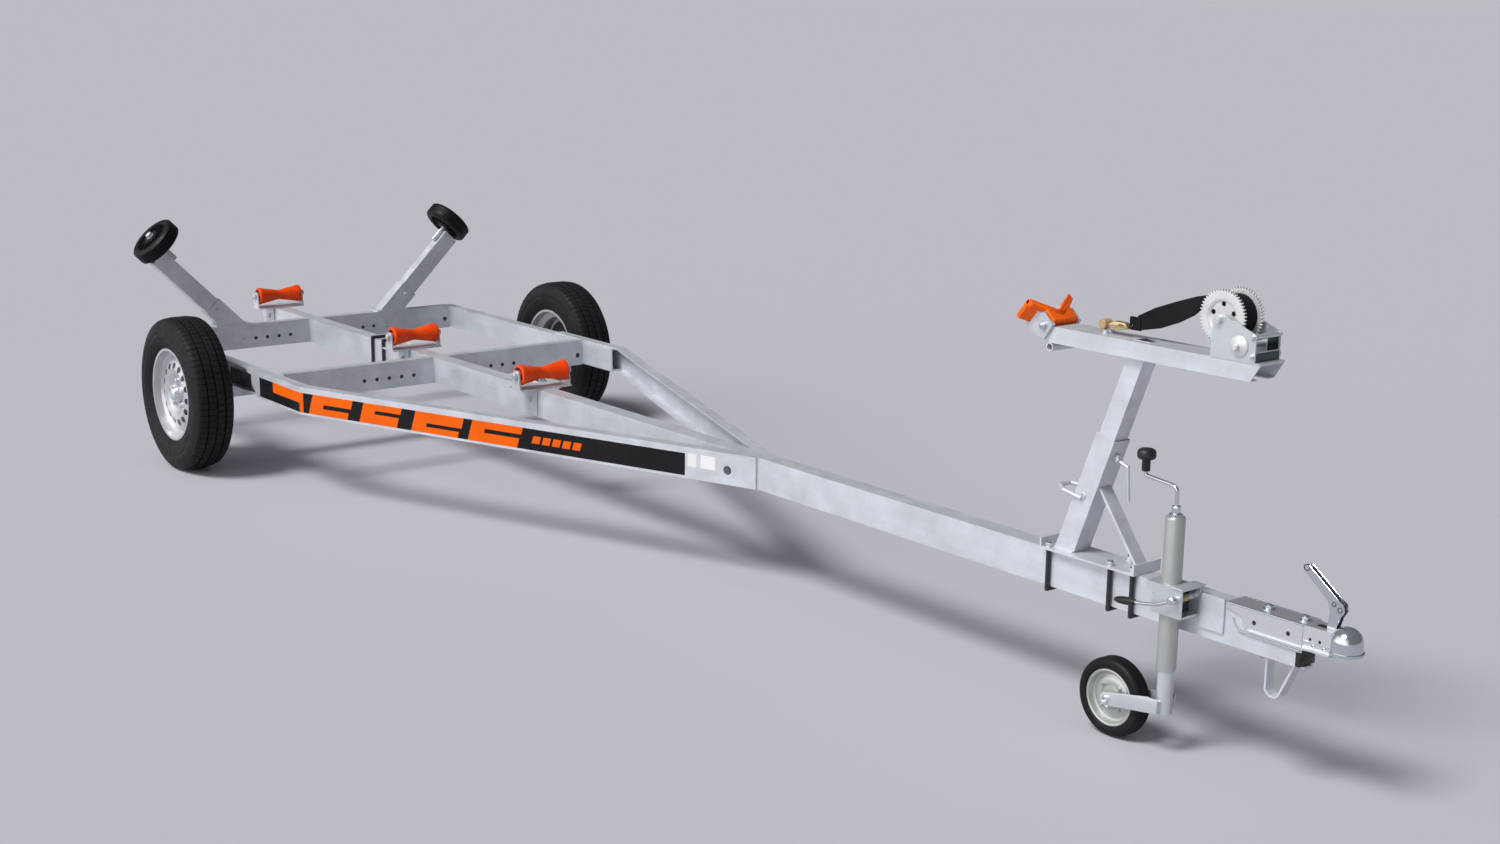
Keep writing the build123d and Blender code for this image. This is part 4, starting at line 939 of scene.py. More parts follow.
class TRAILER_OT_film(bpy.types.Operator):
    """Lays the black film with its orange stripes and two bare labels on both front rails"""

    bl_idname = "trailer.film"
    bl_label = "Rail film"

    def execute(self, context):
        ahead = Vector((RAIL_NOSE[0] - RAIL_BEND[0], RAIL_NOSE[1] - RAIL_BEND[1], 0))
        corner = Matrix.Translation(Vector((AXLE_X + RAIL_BEND[0], RAIL_BEND[1], 0)))
        self.straight = corner
        self.slanted = corner @ Matrix.Rotation(atan2(ahead.y, ahead.x), 4, "Z")
        bend = FILM_START - RAIL_BEND[0]
        band = [
            self.strip(self.straight, bend, 0.0, FILM_LOW, FILM_TOP, 1),
            self.strip(self.slanted, 0.0, FILM_END, FILM_LOW, FILM_TOP, 1),
            # the black sheet between the tyre and the bend
            self.strip(self.straight, bend - REAR_BLACK_SHEET[0], bend - REAR_BLACK_SHEET[1],
                       FILM_LOW + REAR_BLACK_SHEET_LIFT, FILM_TOP, 1),
        ]
        self.both_sides("rail_band", band, "band")
        marks = [
            self.slope(self.straight, bend + BEND_MARK, 0.0, FILM_LOW + BEND_MARK_LOW, FILM_TOP, 0.0),
            self.slope(self.slanted, 0.0, 0.018, FILM_LOW, FILM_TOP, 0.0),
        ]
        for start, end, slit_low, slit_high in STRIPES:
            marks += self.stripe(start, end, slit_low, slit_high)
        for start in DASHES:
            marks.append(self.slope(self.slanted, start, start + DASH_LONG,
                                    FILM_LOW + DASH_LOW, FILM_LOW + DASH_TOP, DASH_LEAN))
        self.both_sides("rail_stripes", marks, "mark")
        labels = [
            self.strip(self.slanted, start, end, FILM_LOW + 0.031, FILM_TOP + 0.002, 2)
            for start, end in LABELS
        ]
        self.both_sides("rail_labels", labels, "label")
        return {"FINISHED"}

    def strip(self, place, start, end, low, high, layer):
        """A rectangle of film: layer 1 lies on the steel and layer 2 on the first."""
        outline = [(start, 0, low), (end, 0, low), (end, 0, high), (start, 0, high)]
        return self.laid(place, outline, layer)

    def slope(self, place, start, end, low, high, lean):
        """A stripe whose two ends lean forwards."""
        outline = [(start, 0, low), (end, 0, low), (end + lean, 0, high), (start + lean, 0, high)]
        return self.laid(place, outline, 2)

    def laid(self, place, outline, layer):
        """A sheet of film set down on its part of the rail."""
        front = [Vector(p) - Vector((0, layer * FILM_THICK, 0)) for p in outline]
        sheet = plate("film", front, FILM_THICK, "y")
        sheet.data.transform(place)
        return sheet

    def stripe(self, start, end, slit_low, slit_high):
        """A broad stripe that a dark slit divides into an upper and a lower band."""
        height = FILM_TOP - FILM_LOW
        low, high = FILM_LOW + slit_low * height, FILM_LOW + slit_high * height
        lean = STRIPE_LEAN
        foot = start + lean * slit_low
        neck = start + lean * slit_high
        return [
            self.slope(self.slanted, start, end - 0.030, FILM_LOW, low, lean * slit_low),
            self.slope(self.slanted, foot, foot + 0.060, low, high, lean * (slit_high - slit_low)),
            self.slope(self.slanted, neck, end - 0.012, high, FILM_TOP, lean * (1 - slit_high)),
        ]

    def both_sides(self, name, sheets, finish):
        right = joined(name + "_right", sheets)
        left = copied(right, name + "_left", MIRROR)
        for piece in (right, left):
            wear(piece, finish, "chassis", None)


# ---------------------------------------------------------------- winch

DRUM = Vector(middle_of("winch_drum"))
GEAR_R = half_of("winch_drum", 0)
GEAR_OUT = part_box("winch_drum")[1][1]
GEAR_THICK = 0.007
GEAR_DISH_R = 0.042
DRUM_HOLES, DRUM_HOLE_RING, DRUM_HOLE_R = 5, 0.030, 0.0062
MARKS, MARK_RING, MARK_HALF = 8, 0.0525, Vector((0.0018, 0.0003, 0.0018))
SHAFT_BORE = 0.0071
GEAR_TOOTH, PINION_TOOTH = 0.0056, 0.0040
PINION = Vector(middle_of("winch_pinion"))
PINION_R = 0.0185
ARM_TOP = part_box("winch_arm")[1][2]


def toothed_wheel(name, middle, radius, depth, thick, teeth, phase=0.0):
    """A flat spur wheel: its outline goes out and in once for each tooth."""
    step = 2 * pi / teeth
    outline = []
    for k in range(teeth):
        for share, out in ((-0.30, 0.0), (-0.15, 1.0), (0.15, 1.0), (0.30, 0.0)):
            a = phase + (k + share) * step
            r = radius - depth * (1.0 - out)
            outline.append((middle[0] + r * cos(a), middle[1] - thick / 2, middle[2] + r * sin(a)))
    return plate(name, outline, thick, "y", 0.0004, 1)


class TRAILER_OT_winch(bpy.types.Operator):
    """Models the winch's toothed side discs, its pinion, cap and fastenings, and painted shade inside its
    frame
    """

    bl_idname = "trailer.winch"
    bl_label = "Winch"

    def execute(self, context):
        sizes = context.scene.trailer_sizes
        discs = [self.disc(sizes, side) for side in SIDES]
        core = spun("core", [(SHAFT_BORE, -0.030), (0.020, -0.030), (0.020, 0.030), (SHAFT_BORE, 0.030)],
                    DRUM, ACROSS, 32)
        finished("winch_gears", discs + [core], 30, "gear", "winch_drum", "white_zinc", "winch_drum")
        self.pinion(sizes)
        self.frame_bolts()
        self.painted_shade()
        return {"FINISHED"}

    def disc(self, sizes, side):
        """A side disc: toothed rim, dished middle, five round holes and small stamped squares."""
        middle = DRUM + Vector((0, side * (GEAR_OUT - GEAR_THICK / 2), 0))
        rim = toothed_wheel("rim", middle, GEAR_R, GEAR_TOOTH, GEAR_THICK, sizes.gear_teeth)
        self.cut(rim, cylinder("hollow", GEAR_DISH_R, -0.02, 0.02, middle, ACROSS, 64))
        lip = GEAR_DISH_R + 0.0006
        deep = GEAR_THICK / 2 - 0.0006
        shell = [(SHAFT_BORE, -side * deep), (lip, -side * deep),
                 (lip, side * 0.0022), (GEAR_DISH_R - 0.0028, side * 0.0022),
                 (GEAR_DISH_R - 0.0075, -side * (deep - 0.0018)), (SHAFT_BORE, -side * (deep - 0.0018))]
        dish = spun("dish", shell, middle, ACROSS, 64)
        for spot in round_about(middle, DRUM_HOLE_RING, range(20, 380, 360 // DRUM_HOLES)):
            self.cut(dish, cylinder("hole", DRUM_HOLE_R, -0.03, 0.03, spot, ACROSS, 24))
        face = middle + Vector((0, side * GEAR_THICK / 2, 0))
        marks = [
            brick("mark", spot - MARK_HALF, spot + MARK_HALF, 0.0002, 1)
            for spot in round_about(face, MARK_RING, range(10, 370, 360 // MARKS))
        ]
        return joined("disc", [rim, dish] + marks)

    def cut(self, piece, tool):
        """Takes one closed shape out of another."""
        chosen(piece)
        modifier = piece.modifiers.new("Cut", "BOOLEAN")
        modifier.object = tool
        modifier.solver = "EXACT"
        bpy.ops.object.modifier_apply(modifier=modifier.name)
        dropped(tool)

    def pinion(self, sizes):
        """The pinion on its shaft, and the domed cap outside the near side plate."""
        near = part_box("winch_frame")[0][1] + 0.011
        low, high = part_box("winch_pinion")
        line = (PINION[0], 0, PINION[2])
        wheel = toothed_wheel("teeth", (PINION[0], -(GEAR_OUT - GEAR_THICK / 2), PINION[2]), PINION_R,
                              PINION_TOOTH, 0.012, sizes.pinion_teeth, pi / sizes.pinion_teeth)
        shaft = spun("shaft", [
            (0.0, low[1]), (0.0066, low[1]), (0.0079, low[1] + 0.0013),
            (0.0079, high[1] - 0.0013), (0.0066, high[1]), (0.0, high[1]),
        ], line, ACROSS, 32, False)
        cap = spun("cap", [
            (0.0079, near - 0.0005), (0.0245, near - 0.0005), (0.0250, near - 0.0020),
            (0.0225, near - 0.0040), (0.0120, near - 0.0078), (0.0079, near - 0.0088),
        ], line, ACROSS, 48)
        finished("winch_pinion_gear", [wheel, shaft, cap], 30, "gear", "winch_pinion", "white_zinc",
                 "winch_pinion")

    def painted_shade(self):
        """Painted shade inside the winch's frame: dark sheets on the web, the far side and the floor."""
        parts = [
            brick("web", at(4262.2, -42, 988), at(4262.9, 42, 1009.5), 0.0002, 1),
            brick("far", at(4228, 42.0, 989), at(4257.5, 42.8, 1044), 0.0002, 1),
            brick("floor", at(4228, -42, 988.4), at(4257.5, 42, 989.2), 0.0002, 1),
        ]
        finished("winch_frame_painted_shade", parts, None, "dark_zinc", "winch_mast", None)

    def frame_bolts(self):
        """Nuts on the drum's axle and along the winch frame."""
        low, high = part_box("winch_frame")
        side = high[1] - 0.011
        parts = nuts(0.0095, 0.008, [((DRUM[0], s * side, DRUM[2] - 0.004), (0, s, 0)) for s in SIDES])
        parts += nuts(0.0062, 0.005, [
            ((high[0] - 0.020, s * side, z), (0, s, 0))
            for s in SIDES for z in (high[2] - 0.042, low[2] + 0.016)
        ])
        finished("winch_nuts", parts, 35, "zinc", "winch_mast", "zinc")


# ---------------------------------------------------------------- bow stop and hook

STOP_TILT = radians(39.0)
STOP_TOP = at(3625.0, 0.0, 1022.0)      # upper end of the V's bottom
STOP_HALF = half_of("bow_stop", 1)
HOOK_LOW, HOOK_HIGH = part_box("strap_hook")
# the hook's body: how far behind its front end and how far below its top
HOOK_BODY = (
    (0.012, 0.009), (0.022, 0.0015), (0.056, 0.001), (0.068, 0.008), (0.080, 0.010),
    (0.082, 0.016), (0.070, 0.019), (0.056, 0.024), (0.030, 0.021), (0.014, 0.017),
)


class TRAILER_OT_bow_stop(bpy.types.Operator):
    """Models the V-shaped bow stop with its thin wings, and the strap's snap hook"""

    bl_idname = "trailer.bow_stop"
    bl_label = "Bow stop and hook"

    def execute(self, context):
        self.stop()
        self.plates()
        self.hook()
        return {"FINISHED"}

    def stop(self):
        """The moulding: a V-shaped wall, a flange along its top and a core between the cheeks."""
        wing = STOP_HALF
        wall = [(-0.049, -wing), (0, 0), (-0.049, wing), (-0.037, wing), (0.013, 0), (-0.037, -wing)]
        flange = [(-0.0485, -wing), (0.0005, 0), (-0.0485, wing), (-0.028, wing),
                  (0.022, 0.006), (0.022, -0.006), (-0.028, -wing)]
        core = [(-0.010, -0.043), (0.006, 0), (-0.010, 0.043), (0.035, 0.043), (0.035, -0.043)]
        parts = [
            self.slab(wall, 0.064, 0.0028),
            self.slab(flange, 0.017, 0.0030),
            self.slab(core, 0.033, 0.0030),
        ]
        piece = joined("bow_stop_moulding", parts)
        piece.data.transform(Matrix.Translation(STOP_TOP) @ Matrix.Rotation(STOP_TILT, 4, "Y"))
        wear(smooth(piece, 40), "stop", "winch_mast", "orange_roller", "bow_stop")

    def slab(self, outline, depth, bevel):
        """A block whose outline lies at the top, seen from above."""
        return plate("slab", [(x, y, -depth) for x, y in outline], depth, "z", bevel, 3)

    def plates(self):
        """The heads of the bolt through the two bright plates."""
        pivot = at(3622.0, 0.0, 984.0)
        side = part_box("bow_stop_plates")[1][1] - 0.0073
        parts = nuts(0.0098, 0.0072, [((pivot.x, s * side, pivot.z), (0, s, 0)) for s in SIDES])
        finished("bow_stop_bolts", parts, 35, "chrome", "winch_mast", "white_zinc")

    def hook(self):
        """The forged hook: flat body with an eye, a tan barrel, the latch and its pin."""
        low, high = HOOK_LOW, HOOK_HIGH
        outline = [(high[0] - a, high[2] - b) for a, b in HOOK_BODY]
        parts = [plate("body", [(x, -0.0085, z) for x, z in outline], 0.017, "y", 0.0030, 2)]
        pin = Vector((high[0] - 0.0045, 0, high[2] - 0.0105))
        for s in SIDES:
            link = ((0, 0.017, 0), (-0.012, 0.016, 0.001), (-0.026, 0.010, 0.002), (-0.040, 0.004, 0.001))
            parts.append(rod("link", [pin + Vector((a, s * b, c)) for a, b, c in link], 0.0034))
        parts.append(rod("pin", [pin + Vector((0, -0.0195, 0)), pin + Vector((0, 0.0195, 0))], 0.0034))
        x, top, foot = low[0], high[2], low[2] + 0.0050
        tip = ((x + 0.030, top - 0.020), (x + 0.014, top - 0.022), (x + 0.0048, top - 0.026),
               (x + 0.014, foot), (x + 0.020, foot))
        parts.append(rod("tip", [Vector((a, 0, c)) for a, c in tip], 0.0042))
        finished("snap_hook", parts, 40, "brass", "winch_mast", None, "strap_hook")
        middle = Vector((low[0] + 0.018, 0, high[2] - 0.0135))
        barrel = spun("barrel", [
            (0.0, -0.0150), (0.0100, -0.0150), (0.0122, -0.0128), (0.0124, 0.0), (0.0122, 0.0128),
            (0.0100, 0.0150), (0.0, 0.0150),
        ], middle, ACROSS, 40, False)
        wear(smooth(barrel, 40), "tan", "winch_mast", None)
        bolt = hex_nut("hook_bolt", 0.0085, 0.0060)
        bolt.data.transform(Matrix.Translation((low[0] + 0.030, -0.0130, ARM_TOP - 0.0098)))
        wear(smooth(bolt), "zinc", "winch_mast", "zinc")


# ---------------------------------------------------------------- jockey wheel

TUBE = Vector(middle_of("jockey_tube"))
TUBE_LOW, TUBE_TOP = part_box("jockey_tube")[0][2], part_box("jockey_tube")[1][2]
TUBE_R = half_of("jockey_tube", 0)
LEG_R = 0.0205
SPINDLE_R = 0.0079
TUBE_WALL = 0.003
CRANK_REACH = 0.098
FORK_THICK = 0.005
FORK_END_R = 0.0175
RIVET_RING = 0.0390
COILS, COIL_R, COIL_PITCH, WIRE_R = 7, 0.0085, 0.0048, 0.0013
LEG_LOW = 0.104
TROLLEY = Vector(middle_of("jockey_rim"))
TROLLEY_R = half_of("jockey_tyre", 2)
TROLLEY_HALF = half_of("jockey_tyre", 1)
CLAMP_LOW, CLAMP_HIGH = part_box("jockey_clamp")


class TRAILER_OT_jockey(bpy.types.Operator):
    """Models the jockey wheel: tube, crank, leg with its fork, tyre, rim and clamp fittings"""

    bl_idname = "trailer.jockey"
    bl_label = "Jockey wheel"

    def execute(self, context):
        self.tube()
        self.crank()
        self.leg()
        self.wheel()
        self.clamp()
        return {"FINISHED"}

    def tube(self):
        """The outer tube with its spun-in shoulder and a flat bearing washer on top."""
        r, wall = TUBE_R, TUBE_WALL
        profile = [
            (r - wall, TUBE_LOW), (r - 0.0006, TUBE_LOW), (r, TUBE_LOW + 0.0006), (r, TUBE_TOP - 0.0085),
            (r - 0.0008, TUBE_TOP - 0.0050), (r - 0.0028, TUBE_TOP - 0.0022), (r - 0.0060, TUBE_TOP - 0.0008),
            (0.0150, TUBE_TOP - 0.0008), (0.0150, TUBE_TOP), (0.0086, TUBE_TOP), (0.0086, TUBE_TOP - 0.0040),
            (r - wall - 0.003, TUBE_TOP - 0.0040), (r - wall, TUBE_TOP - 0.0080),
        ]
        tube = spun("jockey_outer_tube", profile, (TUBE.x, TUBE.y, 0), UP, 64)
        wear(smooth(tube, 40), "satin", "chassis", "white_zinc", "jockey_tube")

    def crank(self):
        """The crank: spindle, hexagon boss, bent handle and mushroom knob."""
        boss_low = TUBE_TOP + 0.0006
        line = (TUBE.x, TUBE.y, 0)
        boss = hexagon("boss", 0.0115, 0.020, (TUBE.x, TUBE.y, boss_low + 0.0125), 0.0012)
        collar = spun("collar", [
            (0.0, boss_low), (0.0165, boss_low), (0.0165, boss_low + 0.0022), (0.0, boss_low + 0.0030),
        ], line, UP, 40, False)
        spindle = cylinder("spindle", SPINDLE_R, TUBE_LOW + 0.016, boss_low + 0.0005, line, UP, 24)
        path = [(0, 0.020), (0, 0.050), (-0.0005, 0.063), (-0.014, 0.0700), (-0.040, 0.0725),
                (-0.070, 0.0752), (-0.090, 0.0768), (-0.0978, 0.0785), (-CRANK_REACH, 0.0900)]
        handle = rod("handle", [(TUBE.x + a, TUBE.y, TUBE_TOP + b) for a, b in path], 0.0048)
        piece = joined("crank_handle", [boss, collar, spindle, handle])
        wear(smooth(piece, 40), "chrome", "jockey_crank", "white_zinc", "jockey_crank")
        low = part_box("crank_knob")[0][2]
        knob = spun("mushroom_knob", [
            (0.0, 0.0), (0.0098, 0.0), (0.0104, 0.0010), (0.0104, 0.0250), (0.0125, 0.0280), (0.0190, 0.0300),
            (0.0222, 0.0330), (0.0229, 0.0375), (0.0229, 0.0440), (0.0214, 0.0500), (0.0165, 0.0540),
            (0.0090, 0.0556), (0.0, 0.0560),
        ], (TUBE.x - CRANK_REACH, TUBE.y, low), UP, 48, False)
        wear(smooth(knob, 50), "plastic", "jockey_crank", "black_plastic", "crank_knob")

    def leg(self):
        """The inner tube and the two flat bars that carry the wheel."""
        parts = [spun("inner", [
            (LEG_R - TUBE_WALL, LEG_LOW), (LEG_R - 0.0005, LEG_LOW), (LEG_R, LEG_LOW + 0.0005),
            (LEG_R, TUBE_LOW + 0.190), (LEG_R - TUBE_WALL, TUBE_LOW + 0.190),
        ], (TUBE.x, TUBE.y, 0), UP, 48)]
        arc = [
            (TROLLEY.x + FORK_END_R * cos(a), TROLLEY.z + FORK_END_R * sin(a))
            for a in (radians(118 + 20 * k) for k in range(10))
        ]
        bar = arc + [(TUBE.x - 0.010, 0.1060), (TUBE.x + 0.006, 0.1070),
                     (TUBE.x + 0.008, 0.1440), (TUBE.x - 0.026, 0.1440)]
        end_cap = [(0.0052, 0.0), (0.0110, 0.0), (0.0110, 0.0042), (0.0098, 0.0056),
                   (0.0062, 0.0056), (0.0052, 0.0046)]
        inner = TROLLEY_HALF + 0.005
        for s in SIDES:
            start = TUBE.y + (inner if s > 0 else -inner - FORK_THICK)
            parts.append(plate("bar", [(x, start, z) for x, z in bar], FORK_THICK, "y", 0.0009))
            end = (TROLLEY.x, TUBE.y + s * (inner + FORK_THICK), TROLLEY.z)
            parts.append(spun("axle end", end_cap, end, (0, s, 0), 32))
        parts.append(brick("foot", (TUBE.x - 0.012, TUBE.y - inner, 0.112),
                           (TUBE.x + 0.006, TUBE.y + inner, 0.140), 0.0015))
        parts.append(cylinder("axle", SPINDLE_R, -inner - 0.004, inner + 0.004, TROLLEY, ACROSS, 24))
        finished("jockey_fork", parts, 38, "zinc", "jockey_leg", "zinc", "jockey_leg")

    def wheel(self):
        """The solid tyre with fine tread grooves and the pressed bright rim."""
        r, half = TROLLEY_R, TROLLEY_HALF
        tread = [(r, 0.0)]
        for a in (0.0050, 0.0095, 0.0140):
            tread += [(r - 0.0002, a - 0.0008), (r - 0.0024, a - 0.0003),
                      (r - 0.0024, a + 0.0003), (r - 0.0003, a + 0.0008)]
        side = tread + [(r - 0.0020, 0.0190), (r - 0.0065, half - 0.0012), (r - 0.0110, half - 0.0002),
                        (0.0800, half), (0.0775, half - 0.0010), (0.0752, half - 0.0022),
                        (0.0730, half - 0.0045)]
        tyre = spun("jockey_solid_tyre", doubled(side, 1), TROLLEY, ACROSS, 80)
        wear(smooth(tyre, 35), "solid_rubber", "jockey_wheel", "black_rubber", "jockey_tyre")
        face = [
            (0.0082, 0.0265), (0.0175, 0.0265), (0.0190, 0.0245), (0.0200, 0.0150), (0.0225, 0.0110),
            (0.0300, 0.0100), (0.0330, 0.0125), (0.0450, 0.0125), (0.0490, 0.0100), (0.0560, 0.0075),
            (0.0610, 0.0095), (0.0640, 0.0160), (0.0662, 0.0215), (0.0700, 0.0232), (0.0722, 0.0222),
            (0.0728, 0.0200),
        ]
        back = [(0.0722, 0.0185), (0.0700, 0.0170), (0.0690, 0.0040)]
        parts = [spun("jockey_pressed_rim", doubled(face + back), TROLLEY, ACROSS, 80)]
        parts += nuts(0.0050, 0.0032, [
            (spot + Vector((0, s * 0.0120, 0)), (0, s, 0))
            for spot in round_about(TROLLEY, RIVET_RING, range(45, 360, 90)) for s in SIDES
        ], False)
        finished("jockey_pressed_rim", parts, 38, "satin", "jockey_wheel", "white_zinc", "jockey_rim")

    def clamp(self):
        """The clamp's screw and spring, painted shade for its inside, its bright top, its lever and torpedo
        grip.
        """
        high = CLAMP_HIGH[2]
        near = CLAMP_LOW[1]
        spot = Vector((TUBE.x + 0.045, near, high - 0.026))
        parts = [cylinder("screw", 0.0058, 0.006, 0.062, spot, ACROSS, 24)]
        for k in range(COILS):
            ring = [(COIL_R + WIRE_R * cos(a), 0.012 + COIL_PITCH * k + WIRE_R * sin(a))
                    for a in (radians(60 * n) for n in range(6))]
            parts.append(spun("coil", ring, spot, ACROSS, 32))
        finished("clamp_screw", parts, 50, "brass", "chassis", None)
        # painted shade: dark sheets on the back and the floor of the clamp's inside
        back = brick("back", at(4114.3, -97, 364), at(4115.4, -33, 430), 0.0003, 1)
        floor = brick("floor", at(4114.3, -97, 363.4), at(4142, -33, 364.4), 0.0003, 1)
        finished("clamp_shade", [back, floor], None, "dark_zinc", "chassis", None)
        top = brick("top", (CLAMP_LOW[0] + 0.078, near - 0.0005, high + 0.0002),
                    (CLAMP_HIGH[0] + 0.006, -BEAM_SIDE + 0.010, high + 0.0035), 0.0009)
        wear(smooth(top), "zinc", "chassis", "zinc")
        out = near - 0.0143
        bends = [
            spot + Vector((0, -0.0113, 0)), spot + Vector((-0.030, -0.0143, -0.014)),
            Vector((TUBE.x - 0.004, out, high - 0.047)), Vector((TUBE.x - 0.040, out, high - 0.053)),
            Vector((TUBE.x - 0.072, out, high - 0.0573)),
        ]
        arm = rod("lever", bends, 0.0045)
        boss = spun("boss", [
            (0.0, -0.0183), (0.0080, -0.0183), (0.0100, -0.0165), (0.0100, -0.0063), (0.0, -0.0063),
        ], spot, ACROSS, 32, False)
        finished("clamp_handle", [arm, boss], 45, "chrome", "chassis", "white_zinc", "clamp_lever")
        start = Vector((TUBE.x - 0.062, out, high - 0.056))
        end = Vector((TUBE.x - 0.126, out, high - 0.064))
        length = (end - start).length
        grip = spun("torpedo_grip", [
            (0.0, 0.0), (0.0062, 0.0), (0.0074, 0.0016), (0.0080, 0.010), (0.0098, 0.024), (0.0100, 0.034),
            (0.0086, 0.050), (0.0052, length - 0.003), (0.0, length),
        ], start, end - start, 40, False)
        wear(smooth(grip, 50), "plastic", "chassis", "black_plastic", "clamp_grip")


# ---------------------------------------------------------------- coupling

SLEEVE_END = 4436.0
SLEEVE_HALF, SLEEVE_LOW, SLEEVE_TOP = 34.0, 348.0, 415.0
NECK_HALF, NECK_TOP = 27.0, 414.0
HEAD_AT, HEAD_R = (4530.0, 392.0), 37.6     # the ball head's middle, along and up, and its radius
HANDLE_FOOT = (4507.0, 416.0)
# the lever's outlines, in millimetres from its foot: forwards and up
LEVER_CHEEK = ((-26, -2), (-4, -2), (6, 30), (16, 46), (12, 62), (-2, 70), (-84, 131), (-93, 133),
               (-101, 127), (-100, 119), (-30, 62), (-22, 40))
LEVER_WEB = ((-101, 126), (-99, 118), (-29, 61), (-21, 40), (-25, 0), (-22, 0), (-18, 41), (-26, 63),
             (-96, 121), (-95, 130))
# LEVER_INSET and LEVER_FRONT outline the sheets of painted shade inside the lever's groove
LEVER_INSET = ((-22, 4), (-8, 4), (2, 31), (11, 46), (8, 58), (-5, 66), (-86, 127), (-94, 127),
               (-96, 121), (-26, 60), (-18, 41))
LEVER_FRONT = ((-22, 2), (-20.9, 2), (-16.9, 41.3), (-25.3, 63.9), (-94.4, 121.6), (-94, 127),
               (-95, 127), (-96, 121), (-26, 63), (-18, 41))
LEVER_PINS = ((4, 48, 0.0045), (-12, 58, 0.0035), (-90, 125, 0.0060))
# dark rounds of painted shade over the pressings' holes: along, up, half width there and radius
HOLE_SHADE_SPOTS = ((4304, 384, SLEEVE_HALF, 5.5), (4398, 384, SLEEVE_HALF, 5.5),
         (4452, 384, NECK_HALF, 4.0), (4478, 384, NECK_HALF, 4.0))


def on_lever(outline, y):
    """An outline of the lever at a distance across, in its place."""
    return [at(HANDLE_FOOT[0] + a, y, HANDLE_FOOT[1] + b) for a, b in outline]


